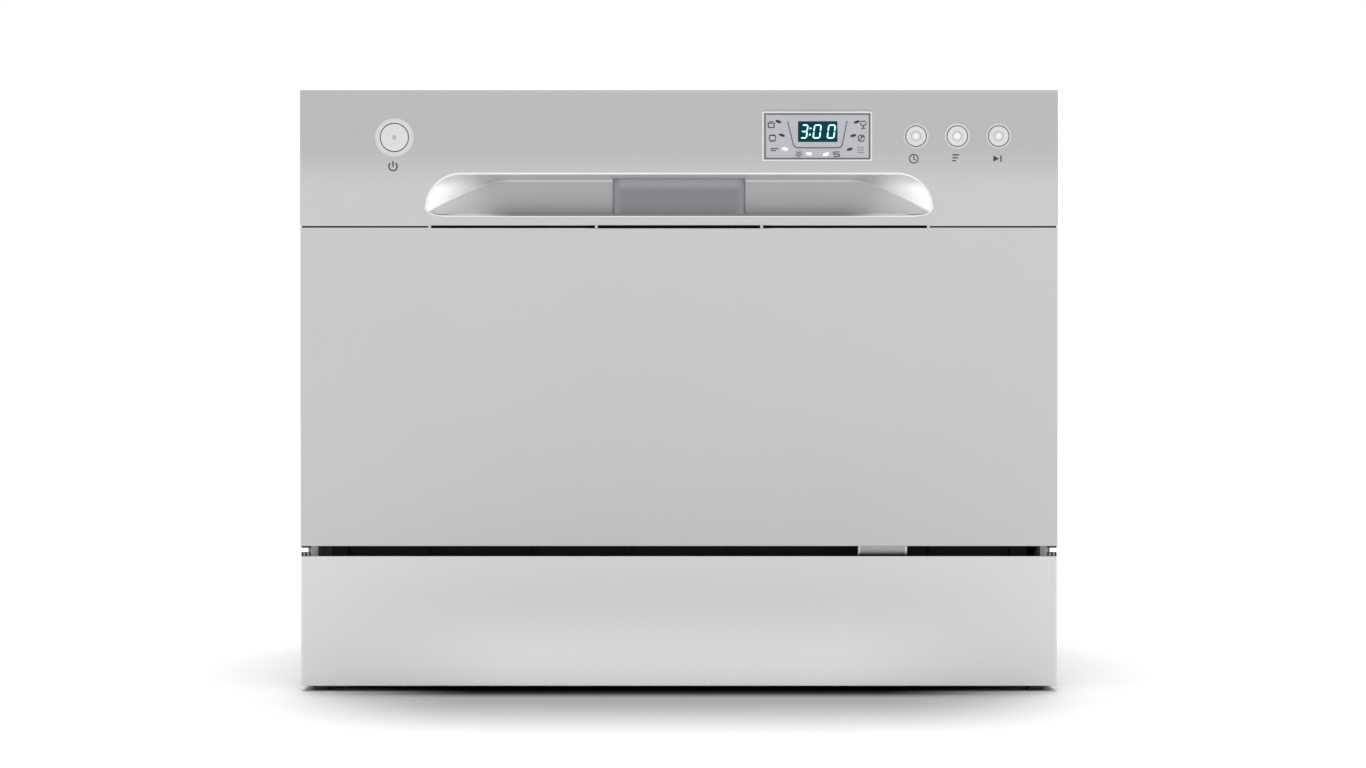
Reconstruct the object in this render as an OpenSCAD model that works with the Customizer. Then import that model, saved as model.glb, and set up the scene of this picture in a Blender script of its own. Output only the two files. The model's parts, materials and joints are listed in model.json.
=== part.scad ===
// Countertop dishwasher with a drop-down front door, one wire rack that comes
// forward with the door, and a row of push buttons. All sizes are millimetres.
// The origin is on the worktop under the middle of the body. +X is to the
// right as seen from the front, the door faces -Y and +Z is up.

/* [Body] */
// Width of the body at the door
body_w = 550; // [520:1:600]
// Depth from the button rims to the screw heads of the rear panel
body_d = 500; // [480:1:540]
// Height from the worktop to the top panel
body_h = 438; // [430:1:470]
// Sheet steel of the casing, the door panel and the kick panel
sheet = 1; // [0.8:0.1:1.2]
// Bend radius of the casing's top edges
casing_bend = 5; // [3:0.5:8]
// How far the casing stands back from the door at each side
casing_inset = 0.5; // [0:0.1:1]

/* [Feet and kick panel] */
// Free height under the kick panel
foot_gap = 4; // [3:0.5:6]
// Height of the kick panel
kick_h = 94; // [90:1:96]
// Gap between the kick panel and the door
door_gap = 7.5; // [7:0.5:10]
// Radius of a foot's pad
foot_r = 7; // [6:0.5:8]
// Radius of a foot's threaded stem
foot_stem_r = 4; // [3:0.5:5]
// How far a foot can be screwed out
foot_travel = 12; // [8:1:15]
// Distance of the feet from the body's side
foot_side = 14.5; // [14:0.5:18]

/* [Door] */
// Thickness of the door
door_t = 44; // [42:1:48]
// Gap between the closed door and the cabinet
door_clear = 3; // [2.8:0.1:4]
// Height of the control fascia at the top of the door
fascia_h = 100; // [96:1:104]
// Seam between the fascia and the door panel
seam = 1; // [0.5:0.1:2]
// Wall of the moulded fascia
fascia_wall = 2.5; // [2:0.1:3]
// Rounding of the fascia's top edge
fascia_round = 4; // [3:0.5:6]
// Bend radius of the upright edges of the door panel
panel_bend = 2; // [1.2:0.1:3]
// Sheet of the stainless door liner
liner_t = 1.2; // [1:0.1:1.4]
// Depth of the pressed pocket in the liner
pocket_depth = 10; // [8:0.5:11]
// Distance of the hinge axis from the liner, and from the door's lower edge
hinge_r = 22; // [21:0.5:23]
// Radius of a hinge pin
pin_r = 4; // [3.5:0.1:4.5]

/* [Hand recess] */
// Half of the straight top edge
recess_top_half = 158; // [150:1:160]
// Height of the recess opening
recess_h = 30.7; // [28:0.1:32]
// Distance from the fascia's lower edge to the recess
recess_low = 8; // [7:0.5:10]
// Radius of the round upper ends of the opening
recess_end_r = 26; // [24:1:28]
// Depth of the recess
recess_depth = 32; // [28:1:33]
// Half width of the latch paddle
paddle_half = 48; // [40:1:50]

/* [Controls] */
// How far the button rims stand proud of the fascia
rim_proud = 1; // [0.6:0.1:1.4]
// Place of the power button from the middle, to the left
power_x = 206.6; // [200:0.1:212]
// Radius of the power button
power_r = 10; // [9:0.5:11]
// Place of the first of the three buttons from the middle
button_x = 172; // [168:1:174]
// Distance between the three buttons
button_step = 30; // [28:0.5:32]
// Radius of the three buttons
button_r = 7.25; // [6.5:0.25:8]
// Height of the buttons below the top of the fascia
button_down = 35; // [33:0.5:37]
// Travel of a button
button_travel = 2; // [1.5:0.1:2.2]
// Left edge of the display window from the middle
window_x = 61; // [58:1:64]
// Width of the display window
window_w = 78; // [74:1:82]
// Height of the display window
window_h = 36; // [34:1:38]

/* [Tub] */
// Space between the body's side and the tub
tub_beside = 35; // [33:1:39]
// Height of the tub floor over the door's lower edge
tub_rise = 16.5; // [15:0.5:18]
// Space between the tub's ceiling and the top of the body
tub_under = 22; // [20:1:28]
// Space between the tub and the rear panel
tub_behind = 44; // [40:1:50]
// Stainless sheet of the tub
tub_t = 1.2; // [1:0.1:1.4]
// Radius of the tub's long corners
tub_r = 25; // [20:1:30]
// Height of the sill under the tub's opening
sill_h = 15; // [13:1:16]
// Width of the flange beside the opening
flange_w = 22; // [20:1:22]
// Radius of the sump opening in the tub floor
sump_r = 66; // [62:1:68]
// Thickness of the felt around the tub
felt_t = 6; // [4:1:8]

/* [Rack] */
// Space between the rack's side and the tub
rack_beside = 25; // [24:0.5:28]
// Space between the rack and the tub's rear wall
rack_behind = 25; // [22:1:30]
// Height of the rack's floor wires over the tub floor
rack_up = 44; // [43.7:0.1:46]
// Height of the rack's sides
rack_side = 74; // [70:1:76]
// Distance from the door pocket to the rack's front
rack_gap = 55; // [52:1:60]
// Spacing of the wires that cross the rack
wire_step = 34; // [32:1:36]
// Radius of the thin wires
wire_r = 1.5; // [1.3:0.1:1.8]
// Radius of the rim wire
rim_r = 2.5; // [2:0.1:3]
// Radius of a rail roller
roller_r = 7.3; // [7:0.1:7.4]

/* [Washing] */
// Space between the spray arm's tip and the front of the tub
arm_clear = 12; // [10:1:22]
// Radius of the spray arm's post
post_r = 12; // [10:0.5:13]
// Radius of the filter cup
cup_r = 18; // [16:0.5:19]
// Outer radius of the water inlet's thread
inlet_r = 13.22; // [13.1:0.01:13.3]
// Outer radius of the drain spigot
drain_r = 9.5; // [9:0.25:10]

/* [Hidden] */
$fn = 48;

fit = 0.3;          // clearance between pieces that are laid against each other
run = 0.05;         // radial clearance of a shaft in its bore
lap = 0.6;          // how far crossing wires melt into each other at a weld

// Main planes
half_w = body_w / 2;
front_y = -body_d / 2;
back_y = body_d / 2;
face_y = front_y + rim_proud;              // front face of the door
screw_head = 1;
rear_face = back_y - screw_head;           // outer face of the rear panel
case_half = half_w - casing_inset;
case_z = foot_gap + 2;                     // lower edge of casing and tray
kick_top = foot_gap + kick_h;
door_z = kick_top + door_gap;              // lower edge of the door
liner_y = face_y + door_t;                 // inner face of the closed door
cab_y = liner_y + door_clear;              // front plane of the cabinet
hinge_y = liner_y - hinge_r;
hinge_z = door_z + hinge_r;
fascia_z = body_h - fascia_h;
panel_top = fascia_z - seam;

// Tub
tub_floor = door_z + tub_rise;
tub_top = body_h - tub_under;
tub_half = half_w - tub_beside;
tub_back = rear_face - tub_behind;
sill_z = tub_floor + sill_h;
flange_half = tub_half + flange_w;
flange_z = tub_floor - 8;
flange_top = tub_top + 17;
seal_w = 9;
seal_mid = tub_half + 8;                   // middle of the seal at each side
seal_low = sill_z - 5.5;
seal_high = tub_top + 7;
seal_round = 26;

// Base tray
tray_wall = 2.5;
tray_half = case_half - sheet - fit;
tray_front = face_y + sheet + fit;
tray_back = rear_face - sheet - fit;
ledge_z = kick_top - 6;                    // top of the tray's low front
step_y = cab_y + 6.5;                      // wall behind the swing of the door
step_top = flange_z - 2;
rib_pitch = 74.5;
rib_reach = 6.5;
foot_x = half_w - foot_side;
foot_y = [tray_front + 17, tray_back - 23];
boss_r = foot_stem_r + 4;
boss_top = 42;
service_x = [half_w - 190, half_w - 25];   // recess for the connections
service_z = [20, 95];
service_depth = 31;
service_y = rear_face - sheet - service_depth;
pillar_x = half_w - 85;
pillar_y = [-60, 180];
pillar_w = 12;

// Hinges
arm_x = half_w - 11;                       // inner face of a hinge arm
arm_t = 2;
bracket_x = arm_x + 5.5;
neck = 12;                                 // radius of bracket and arm round the pin
tail = 45;                                 // pin to spring eye
eye_r = 5;
spring_r = 3.6;
spring_wire = 1.2;
spring_z = 20;
spring_y = hinge_y + tail * cos(45);
spring_top = hinge_z - tail * sin(45) - eye_r - fit;
spring_x = arm_x + arm_t / 2;
guard_x = 130.2;                           // guard under the door's edge
guard_w = 35.6;
guard_r = 7;

// Door liner pocket and dispenser
pocket_y = liner_y - pocket_depth;
pocket_half = seal_mid - 23;
pocket_z = [hinge_z + 22.5, panel_top - 2];
disp_x = [-105, 25];
disp_mid = panel_top - 58;
disp_z = [disp_mid - 43, disp_mid + 43];
disp_proud = 5;
disp_deep = 24;
lid_x = [-98, -36];
lid_z = [disp_mid - 29, disp_mid + 37];
lid_t = 2.5;
lid_pin = 1.5;
cap_at = [-4, disp_mid + 4];
cap_r = 15;

// Recess and latch
recess_z = fascia_z + recess_low;
recess_top = recess_z + recess_h;
recess_back_half = recess_top_half - 27;
recess_back_low = recess_z;
recess_back_top = recess_top - 3;
paddle_y = face_y + recess_depth;          // front face of the paddle
paddle_t = 3;
paddle_z = [recess_z + 1.2, recess_back_top + 9];
paddle_axis = [paddle_y + 4, paddle_z[1] + 3];
paddle_pin = 1.5;
hook_axis = [liner_y - 21, flange_top - 17];
hook_half = 5.5;
hook_pin = 2;
tooth_y = hook_axis[0] + 8;
striker_z = [flange_top - 4, flange_top - 1.5];
housing_t = 2;
post_y = face_y + 6;                       // front of the paddle's push post
post_t = 4;
hook_low = hook_axis[1] - 8;               // underside of the hook's front arm

// Controls
power_z = body_h - button_down - 1;
button_z = body_h - button_down;
buttons = [for (i = [0 : 2]) button_x + i * button_step];
rim_w = 1.8;
power_rim_w = 3.7;
rim_gap = 0.3;
sleeve_t = 0.8;
board_y = face_y + 9;                      // front of the circuit boards
board_t = 1.6;
window_z = body_h - 52;
window_t = 1.5;
led_w = 34;
led_h = 19;

// Rack
rack_front = pocket_y + rack_gap;
rack_half = tub_half - rack_beside;
rack_rows = round((tub_back - rack_behind - rack_front) / wire_step);
rack_back = rack_front + rack_rows * wire_step;
rack_z = tub_floor + rack_up;
rack_top = rack_z + rack_side;
long_z = rack_z + 2 * wire_r - lap;
long_step = 43;
mid_z = rack_z + 36;
tine_rows = [5, 7];
tine_step = 26;
tine_h = 52;
tine_shift = 5;
tine_end = 60;
rail_x = rack_half + 7;
rail_w = 14;
rail_t = 1.2;
roller_z = rack_top - 0.4;
rail_low = roller_z - roller_r - fit - rail_t;
rail_high = roller_z + roller_r + 0.1 + rail_t;
rail_y = [cab_y + 8, tub_back - 55];
roller_y = [cab_y + 22, cab_y + 112];
axle_r = 3;
roller_w = 10;
roller_x = rail_x + rail_t + 2.8;
clip_rows = [1.5, 4.5, 7.5];

// Washing parts
sump_wall = 2.5;
sump_z = tub_floor - 62;
plate_z = tub_floor;
plate_t = 1.2;
cup_at = [30, -18];
softener_neck = [-tub_half + 62, cab_y + 72];
neck_r = 24;
arm_z = tub_floor + 18;
arm_half = -cab_y - arm_clear;
arm_hub_h = 16;
basket_lo = [rack_half - 87, rack_front + 40, 0];
basket_hi = [rack_half - 15, rack_front + 220, 0];
basket_z = long_z + wire_r + fit;
basket_h = 85;

// ---- Helpers ----

// A block between two corners
module box(lo, hi) {
    translate(lo) cube(hi - lo);
}

// A profile drawn in Y and Z, drawn out along X
module along_x(x0, x1) {
    translate([x0, 0, 0]) rotate([90, 0, 90]) linear_extrude(x1 - x0) children();
}

// A profile drawn in X and Z, drawn out along Y
module along_y(y0, y1) {
    translate([0, y1, 0]) rotate([90, 0, 0]) linear_extrude(y1 - y0) children();
}

// The same piece on the left and the right
module both() {
    children();
    mirror([1, 0, 0]) children();
}

// A rectangle with round corners
module rounded(lo, hi, r) {
    translate([lo[0] + r, lo[1]]) square([hi[0] - lo[0] - 2 * r, hi[1] - lo[1]]);
    translate([lo[0], lo[1] + r]) square([hi[0] - lo[0], hi[1] - lo[1] - 2 * r]);
    for (x = [lo[0] + r, hi[0] - r], z = [lo[1] + r, hi[1] - r])
        translate([x, z]) circle(r);
}

// A round bar from one point along X, Y or Z
module bar_x(x0, x1, y, z, r) {
    translate([x0, y, z]) rotate([0, 90, 0]) cylinder(r = r, h = x1 - x0);
}
module bar_y(y0, y1, x, z, r) {
    translate([x, y1, z]) rotate([90, 0, 0]) cylinder(r = r, h = y1 - y0);
}
module bar_z(z0, z1, x, y, r) {
    translate([x, y, z0]) cylinder(r = r, h = z1 - z0);
}

// Points on an arc about (cx, cz)
function arc(cx, cz, r, a0, a1, n) =
    [for (i = [0 : n]) let (a = a0 + (a1 - a0) * i / n) [cx + r * cos(a), cz + r * sin(a)]];

// ---- Cabinet ----

// Sides and rounded top of the body, drawn in X and Z
module body_outline(inset, drop = 0) {
    h = case_half - inset;
    r = casing_bend - inset;
    top = body_h - inset;
    translate([-h, case_z - drop]) square([2 * h, top - r - case_z + drop]);
    translate([-h + r, case_z - drop]) square([2 * (h - r), top - case_z + drop]);
    for (s = [-1, 1]) translate([s * (h - r), top - r]) circle(r);
}

module outer_casing() color("gainsboro") {
    hem = 7;
    hem_top = 4;
    hem_from = hinge_z + 38;
    rear_hem = 22;
    difference() {
        along_y(cab_y, rear_face - sheet) body_outline(0);
        along_y(cab_y - 1, rear_face) body_outline(sheet, 1);
    }
    along_y(cab_y, cab_y + sheet) difference() {
        body_outline(sheet / 2);
        translate([-case_half, 0]) square([2 * case_half, hem_from]);
        translate([-case_half + sheet + hem, 0])
            square([2 * (case_half - sheet - hem), body_h - sheet - hem_top]);
    }
    // rear hem that the rear panel is screwed to
    difference() {
        along_y(rear_face - 2 * sheet, rear_face - sheet) difference() {
            body_outline(sheet / 2);
            translate([-case_half, 0]) square([2 * case_half, 74]);
            translate([-case_half + rear_hem, 0])
                square([2 * (case_half - rear_hem), body_h - rear_hem]);
        }
        for (p = screw_places()) bar_y(rear_face - 9, back_y, p[0], p[1], 1.7);
    }
}

module rear_panel() color("silver") {
    vents = 9;
    vent_w = 60;
    vent_h = 4;
    bead_half = half_w - 75;
    bead_r = 7;
    difference() {
        union() {
            along_y(rear_face - sheet, rear_face) body_outline(0);
            // pressed beads that stiffen the sheet
            for (share = [0.42, 0.6, 0.78], step = [0, 1])
                along_y(rear_face - 0.1, rear_face + 0.4 + 0.4 * step) rounded(
                    [-bead_half + 1.5 * step, body_h * share - bead_r + 1.5 * step],
                    [bead_half - 1.5 * step, body_h * share + bead_r - 1.5 * step],
                    bead_r - 1.5 * step - 0.1);
        }
        along_y(rear_face - 2 * sheet, back_y)
            rounded([service_x[0], service_z[0]], [service_x[1], service_z[1]], 8);
        for (i = [0 : vents - 1], x = [-190, -50])
            along_y(rear_face - 2 * sheet, back_y)
                rounded([x, 45 + 9 * i], [x + vent_w, 45 + 9 * i + vent_h], vent_h / 2 - 0.1);
        for (p = screw_places()) bar_y(rear_face - 2 * sheet, back_y, p[0], p[1], 1.7);
    }
}

function screw_places() = [
    for (x = [-case_half + 14, case_half - 14], z = [30, body_h / 2, body_h - 18]) [x, z],
    [0, body_h - 18]
];

module casing_screws() color("lightgrey")
    for (p = screw_places()) {
        bar_y(rear_face, back_y, p[0], p[1], 3.4);
        bar_y(rear_face - 8, rear_face, p[0], p[1], 1.6);
    }

module base_tray() color("#1c1d20") difference() {
    union() {
        box([-tray_half, tray_front, case_z], [tray_half, tray_back, case_z + tray_wall]);
        // side, rear and front walls
        both() box([tray_half - tray_wall, tray_front, case_z], [tray_half, tray_back, 60]);
        both() box([tray_half - tray_wall, tray_front, case_z],
            [tray_half, step_y + tray_wall, ledge_z]);
        box([-tray_half, tray_back - tray_wall, case_z], [tray_half, tray_back, 70]);
        box([-tray_half, tray_front, case_z], [tray_half, tray_front + tray_wall, ledge_z]);
        // ledge under the door and the wall behind it with its ribs
        box([-tray_half, tray_front, ledge_z - tray_wall],
            [tray_half, step_y + tray_wall, ledge_z]);
        box([-tray_half, step_y, ledge_z - tray_wall],
            [tray_half, step_y + tray_wall, step_top]);
        for (x = [rib_pitch / 2, 1.5 * rib_pitch, 2.5 * rib_pitch, half_w - 28.5])
            both() box([x - 1, step_y - rib_reach, ledge_z - 1],
                [x + 1, step_y + 1, step_top - 6]);
        // webs that stiffen the low front
        for (x = [-3 : 3])
            box([x * rib_pitch - 1, tray_front + 1, case_z + 1],
                [x * rib_pitch + 1, step_y + tray_wall, ledge_z - 1]);
        // foot bosses
        for (y = foot_y) both() bar_z(case_z, boss_top, foot_x, y, boss_r);
        // pillars under the tub
        for (y = pillar_y) both()
            box([pillar_x - pillar_w / 2, y - pillar_w / 2, case_z],
                [pillar_x + pillar_w / 2, y + pillar_w / 2, tub_floor - tub_t - fit]);
        // walls of the recess for the connections
        box([service_x[0] - tray_wall, service_y - tray_wall, case_z],
            [service_x[1] + tray_wall, tray_back, service_z[1] + tray_wall]);
    }
    // hollow of the recess, open to the back
    box([service_x[0], service_y, service_z[0]], [service_x[1], back_y, service_z[1]]);
    box([service_x[0], service_y, case_z + tray_wall],
        [service_x[1], tray_back - tray_wall, service_z[0] - tray_wall]);
    bar_y(service_y - 9, back_y, inlet_at[0], inlet_at[1], inlet_r + 1);
    bar_y(service_y - 9, back_y, drain_at[0], drain_at[1], drain_r + fit);
    bar_y(service_y - 9, back_y, gland_at[0], gland_at[1], gland_r + fit);
    // bores for the feet
    for (y = foot_y) both()
        bar_z(case_z - 1, boss_top + 1, foot_x, y, foot_stem_r + run);
    // room for the hinge arms and their springs
    both() box([spring_x - 7, step_y - rib_reach - 1, spring_z - 8],
        [spring_x + 6, step_y + 12, step_top + 1]);
    both() box([spring_x - 7, step_y - rib_reach - 1, ledge_z - 0.1],
        [half_w, step_y + 12, step_top + 1]);
    for (p = screw_places()) if (p[1] < 70)
        bar_y(tray_back - tray_wall - 1, back_y, p[0], p[1], 1.7);
    // hollow pillars
    for (y = pillar_y) both()
        box([pillar_x - pillar_w / 2 + tray_wall, y - pillar_w / 2 + tray_wall, case_z - 1],
            [pillar_x + pillar_w / 2 - tray_wall, y + pillar_w / 2 - tray_wall,
                tub_floor - tub_t - fit - tray_wall]);
}

inlet_at = [service_x[0] + 80, 58];
drain_at = [service_x[0] + 27, 70];
gland_at = [service_x[0] + 137, 58];
gland_r = 7;

module kick_panel() color("gainsboro") {
    r = panel_bend;
    ret = cab_y - 2;
    difference() {
        translate([0, 0, foot_gap]) linear_extrude(kick_h) difference() {
            pan_outline(case_half, r, ret);
            translate([0, sheet]) pan_outline(case_half - sheet, r - sheet, ret + sheet);
        }
        // the sides stand lower where the door's edge swings past
        box([-half_w, face_y + 7, kick_top - 4], [half_w, cab_y, kick_top + 1]);
    }
    box([-case_half + 1, face_y + sheet / 2, kick_top - sheet],
        [case_half - 1, face_y + 4, kick_top]);
    box([-case_half + 1, face_y + sheet / 2, foot_gap],
        [case_half - 1, face_y + 9, foot_gap + sheet]);
}

// A front pan seen from above: its face, two round edges and its sides
module pan_outline(h, r, y_end) {
    rr = max(r, 0.4);
    translate([-h, face_y + rr]) square([2 * h, y_end - face_y - rr]);
    translate([-h + rr, face_y]) square([2 * (h - rr), y_end - face_y]);
    for (s = [-1, 1]) translate([s * (h - rr), face_y + rr]) circle(rr);
}

// The tub's cross-section, drawn in X and Z
module tub_outline(grow) {
    rounded([-tub_half - grow, tub_floor - grow], [tub_half + grow, tub_top + grow],
        tub_r + grow);
}

module tub() color("#c9ccd0") difference() {
    union() {
        along_y(cab_y, tub_back + tub_t) tub_outline(tub_t);
        along_y(cab_y, cab_y + tub_t)
            rounded([-flange_half, flange_z], [flange_half, flange_top], 12);
    }
    along_y(cab_y + tub_t, tub_back) tub_outline(0);
    along_y(cab_y - 1, cab_y + 2 * tub_t)
        rounded([-tub_half, sill_z], [tub_half, tub_top], tub_r);
    bar_z(tub_floor - 5, tub_floor + 5, 0, 0, sump_r);
    bar_z(tub_floor - 5, tub_floor + 5, softener_neck[0], softener_neck[1], neck_r + fit);
}

module tub_insulation() color("#4b4a48") difference() {
    along_y(cab_y + 12, tub_back - 8) tub_outline(tub_t + felt_t);
    along_y(cab_y, tub_back) tub_outline(tub_t);
    box([-half_w, front_y, 0], [half_w, back_y, tub_floor + 40]);
}

module door_seal() color("#2b2c2e") {
    deep = door_clear - fit;
    difference() {
        along_y(cab_y - deep, cab_y) seal_ring(seal_w / 2 - 1);
        along_y(cab_y - deep - 1, cab_y + 1) seal_ring(-seal_w / 2 + 1);
    }
    difference() {
        along_y(cab_y - deep / 2, cab_y) seal_ring(seal_w / 2);
        along_y(cab_y - deep, cab_y + 1) seal_ring(-seal_w / 2);
    }
}
module seal_ring(grow) {
    rounded([-seal_mid - grow, seal_low - grow], [seal_mid + grow, seal_high + grow],
        seal_round + grow);
}

module sump() color("#3a3d42") difference() {
    union() {
        rotate_extrude() polygon([
            [0, sump_z], [sump_r - 14, sump_z], [sump_r - 6, tub_floor - 27],
            [sump_r - 1, tub_floor - 14], [sump_r - 1, tub_floor - 5],
            [sump_r + 14, tub_floor - 5], [sump_r + 14, tub_floor - tub_t - fit],
            [sump_r - 3.5, tub_floor - tub_t - fit], [sump_r - 3.5, tub_floor - 13.4],
            [sump_r - 8.4, tub_floor - 26],
            [sump_r - 16, sump_z + sump_wall], [0, sump_z + sump_wall]
        ]);
        difference() {
            union() {
                bar_x(-92, -40, 0, 80, 14);
                bar_x(40, 82, 0, 72, 10);
            }
            bar_z(sump_z, tub_floor - 2, 0, 0, sump_r - 14);
        }
        bar_z(46, sump_z + 1, 0, 0, 13);
    }
    bar_x(-93, -45, 0, 80, 11.5);
    bar_x(45, 83, 0, 72, 7.5);
    bar_z(45, sump_z + 5, 0, 0, 9);
}

module filter_plate() color("#b9bdc2") difference() {
    union() {
        bar_z(plate_z, plate_z + plate_t, 0, 0, sump_r + 7);
        bar_z(plate_z - 6, plate_z + 0.5, 0, 0, sump_r - 4);
    }
    bar_z(plate_z - 7, plate_z, 0, 0, sump_r - 5.2);
    bar_z(plate_z - 7, plate_z + 5, 0, 0, post_r + fit);
    bar_z(plate_z - 7, plate_z + 5, cup_at[0], cup_at[1], cup_r + fit);
    for (i = [0 : 23]) rotate(15 * i) if (hole_is_free(56, 15 * i))
        bar_z(plate_z - 1, plate_z + 5, 56, 0, 2.4);
    for (i = [0 : 17]) rotate(20 * i) if (hole_is_free(44, 20 * i))
        bar_z(plate_z - 1, plate_z + 5, 44, 0, 2.4);
    for (i = [0 : 11]) rotate(30 * i) if (hole_is_free(31, 30 * i))
        bar_z(plate_z - 1, plate_z + 5, 31, 0, 2.4);
}
// A drain hole keeps clear of the filter cup's opening
function hole_is_free(r, a) =
    norm([r * cos(a) - cup_at[0], r * sin(a) - cup_at[1]]) > cup_r + 4.5;

module wash_pump() color("#5c6168") {
    bar_x(-112, -92, 0, 80, 34);
    bar_x(-190, -112, 0, 80, 30);
    bar_x(-198, -190, 0, 80, 12);
    // outlet that joins the feed pipe, and the rubber saddle on the tray
    box([-110, -9, 40], [-94, 9, 60]);
    difference() {
        box([-176, -22, case_z + tray_wall], [-146, 22, 62]);
        bar_x(-180, -140, 0, 80, 30);
    }
}

module feed_pipe() color("#2a2c30") {
    // from under the pump to the middle of the sump
    bar_x(-110, 9, 0, 31, 9);
    bar_z(31, 46, 0, 0, 9);
    bar_z(31, 40, -102, 0, 8);
}

module drain_pump() color("#5c6168") {
    bar_x(82, 96, 0, 72, 24);
    bar_x(96, 136, 0, 72, 19);
    box([100, -12, case_z + tray_wall], [126, 12, 55]);
    bar_y(20, 32, 89, 72, 8);
}

module drain_outlet() color("#d9dadb") difference() {
    union() {
        bar_y(32, 52, 89, 72, drain_r);
        bar_x(89, drain_at[0], 52, 72, drain_r);
        bar_y(52, back_y - 6, drain_at[0], drain_at[1], drain_r);
        bar_y(service_y, service_y + 3, drain_at[0], drain_at[1], drain_r + 4);
    }
    bar_y(140, back_y, drain_at[0], drain_at[1], drain_r - 2);
}

module heater() color("#8d9197") {
    difference() {
        bar_z(tub_floor - 19, tub_floor - 5, 0, 0, sump_r + 9);
        bar_z(tub_floor - 20, tub_floor - 4, 0, 0, sump_r - 1);
    }
    both() box([18, -sump_r - 22, tub_floor - 15], [24, -sump_r - 6, tub_floor - 9]);
}

module water_softener() color("#e6e4dc") {
    difference() {
        union() {
            box([softener_neck[0] - 58, softener_neck[1] - 52, case_z + tray_wall],
                [softener_neck[0] + 58, softener_neck[1] + 46, tub_floor - 14]);
            bar_z(tub_floor - 15, tub_floor + 6, softener_neck[0], softener_neck[1], neck_r);
        }
        bar_z(60, tub_floor + 7, softener_neck[0], softener_neck[1], neck_r - 4);
    }
}

module salt_cap() color("#2e6f9e") {
    at = [softener_neck[0], softener_neck[1], tub_floor + 6 + fit];
    translate(at) cylinder(r = neck_r + 3, h = 8);
    translate(at + [-neck_r, -3, 7]) cube([2 * neck_r, 6, 6]);
    translate(at - [0, 0, 12]) cylinder(r = neck_r - 4 - fit, h = 13);
}

module air_breaker() color("#d7d9da") {
    x = tub_half + tub_t + felt_t;
    difference() {
        box([-x - 17, tub_back - 195, tub_floor + 18], [-x, tub_back - 45, tub_top - 40]);
        for (i = [0 : 3])
            box([-x - 18, tub_back - 180 + 32 * i, tub_floor + 40],
                [-x - 14, tub_back - 160 + 32 * i, tub_top - 60]);
    }
    bar_z(tub_floor - 26, tub_floor + 18, -x - 8, tub_back - 65, 6);
    box([-x - 14, tub_back - 79, case_z + tray_wall], [-x - 2, tub_back - 51, tub_floor - 26]);
}

module inlet_valve() color("#e9e9e6") {
    difference() {
        union() {
            bar_y(service_y - 8, service_y + 22, inlet_at[0], inlet_at[1], inlet_r);
            bar_y(service_y, service_y + 4, inlet_at[0], inlet_at[1], inlet_r + 4);
        }
        bar_y(service_y - 4, back_y, inlet_at[0], inlet_at[1], inlet_r - 3);
    }
    bar_y(service_y - 34, service_y - 8, inlet_at[0], inlet_at[1], 17);
    box([inlet_at[0] - 13, service_y - 33, inlet_at[1] + 12],
        [inlet_at[0] + 13, service_y - 10, inlet_at[1] + 38]);
    box([inlet_at[0] - 10, service_y - 30, case_z + tray_wall],
        [inlet_at[0] + 10, service_y - 12, inlet_at[1] - 10]);
}

module cable_gland() color("#222326") difference() {
    union() {
        bar_y(service_y - 6, service_y + 4, gland_at[0], gland_at[1], gland_r);
        bar_y(service_y, service_y + 9, gland_at[0], gland_at[1], gland_r + 3);
        bar_y(service_y - 6, service_y - tray_wall, gland_at[0], gland_at[1], gland_r + 3);
    }
    bar_y(service_y - 10, back_y, gland_at[0], gland_at[1], 4);
}

module spray_post() color("#4a4d52") difference() {
    union() {
        bar_z(sump_z + sump_wall, arm_z + arm_hub_h + fit + 4, 0, 0, post_r);
        bar_z(arm_z - 5, arm_z - fit, 0, 0, post_r + 4);
        bar_z(arm_z + arm_hub_h + fit, arm_z + arm_hub_h + fit + 4, 0, 0, post_r + 5);
    }
    bar_z(sump_z, arm_z + arm_hub_h - 2, 0, 0, post_r - 4);
}

module power_board() color("#2f6b3f") {
    z0 = case_z + tray_wall;
    translate([tray_half - 68.2, cab_y + 52, z0]) {
        cube([53, 78, 6]);
        translate([4, 5, 5]) cube([26, 35, 22.5]);
        translate([41, 55, 5]) cylinder(r = 8, h = 24.5);
        translate([7, 50, 5]) cube([18, 20, 16.5]);
    }
}

module door_striker() color("silver") difference() {
    union() {
        box([-18, cab_y - 1.2, striker_z[0]], [18, cab_y, flange_top]);
        box([-hook_half - 4.5, tooth_y - 8, striker_z[0]], [hook_half + 4.5, cab_y - 1, striker_z[1]]);
    }
    box([-hook_half - 1, tooth_y - 4, 0], [hook_half + 1, tooth_y + 7, body_h]);
}

// ---- Hinges ----

module hinge_brackets() color("lightgrey") both() difference() {
    union() {
        along_x(bracket_x, bracket_x + arm_t) {
            translate([hinge_y, hinge_z]) circle(neck);
            translate([hinge_y, hinge_z - neck]) square([cab_y - hinge_y + 20, 2 * neck]);
            translate([cab_y, flange_z]) square([50, 50]);
        }
        // foot that shows beside the tray in the gap under the door
        box([arm_x + arm_t + 1, cab_y - 1, ledge_z + fit], [half_w - 2, cab_y + 1, flange_z - 4]);
        box([bracket_x, cab_y - 1, ledge_z + fit], [bracket_x + arm_t, cab_y + 30, flange_z + 2]);
    }
    bar_x(arm_x, half_w, hinge_y, hinge_z, pin_r);
}

module hinge_pins() color("#9a9da1") both() {
    bar_x(arm_x - 1.5, bracket_x + arm_t, hinge_y, hinge_z, pin_r);
    bar_x(bracket_x + arm_t, bracket_x + arm_t + 1.5, hinge_y, hinge_z, pin_r + 2);
    bar_x(arm_x - 1.5, arm_x - 0.5, hinge_y, hinge_z, pin_r + 1.5);
}

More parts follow.
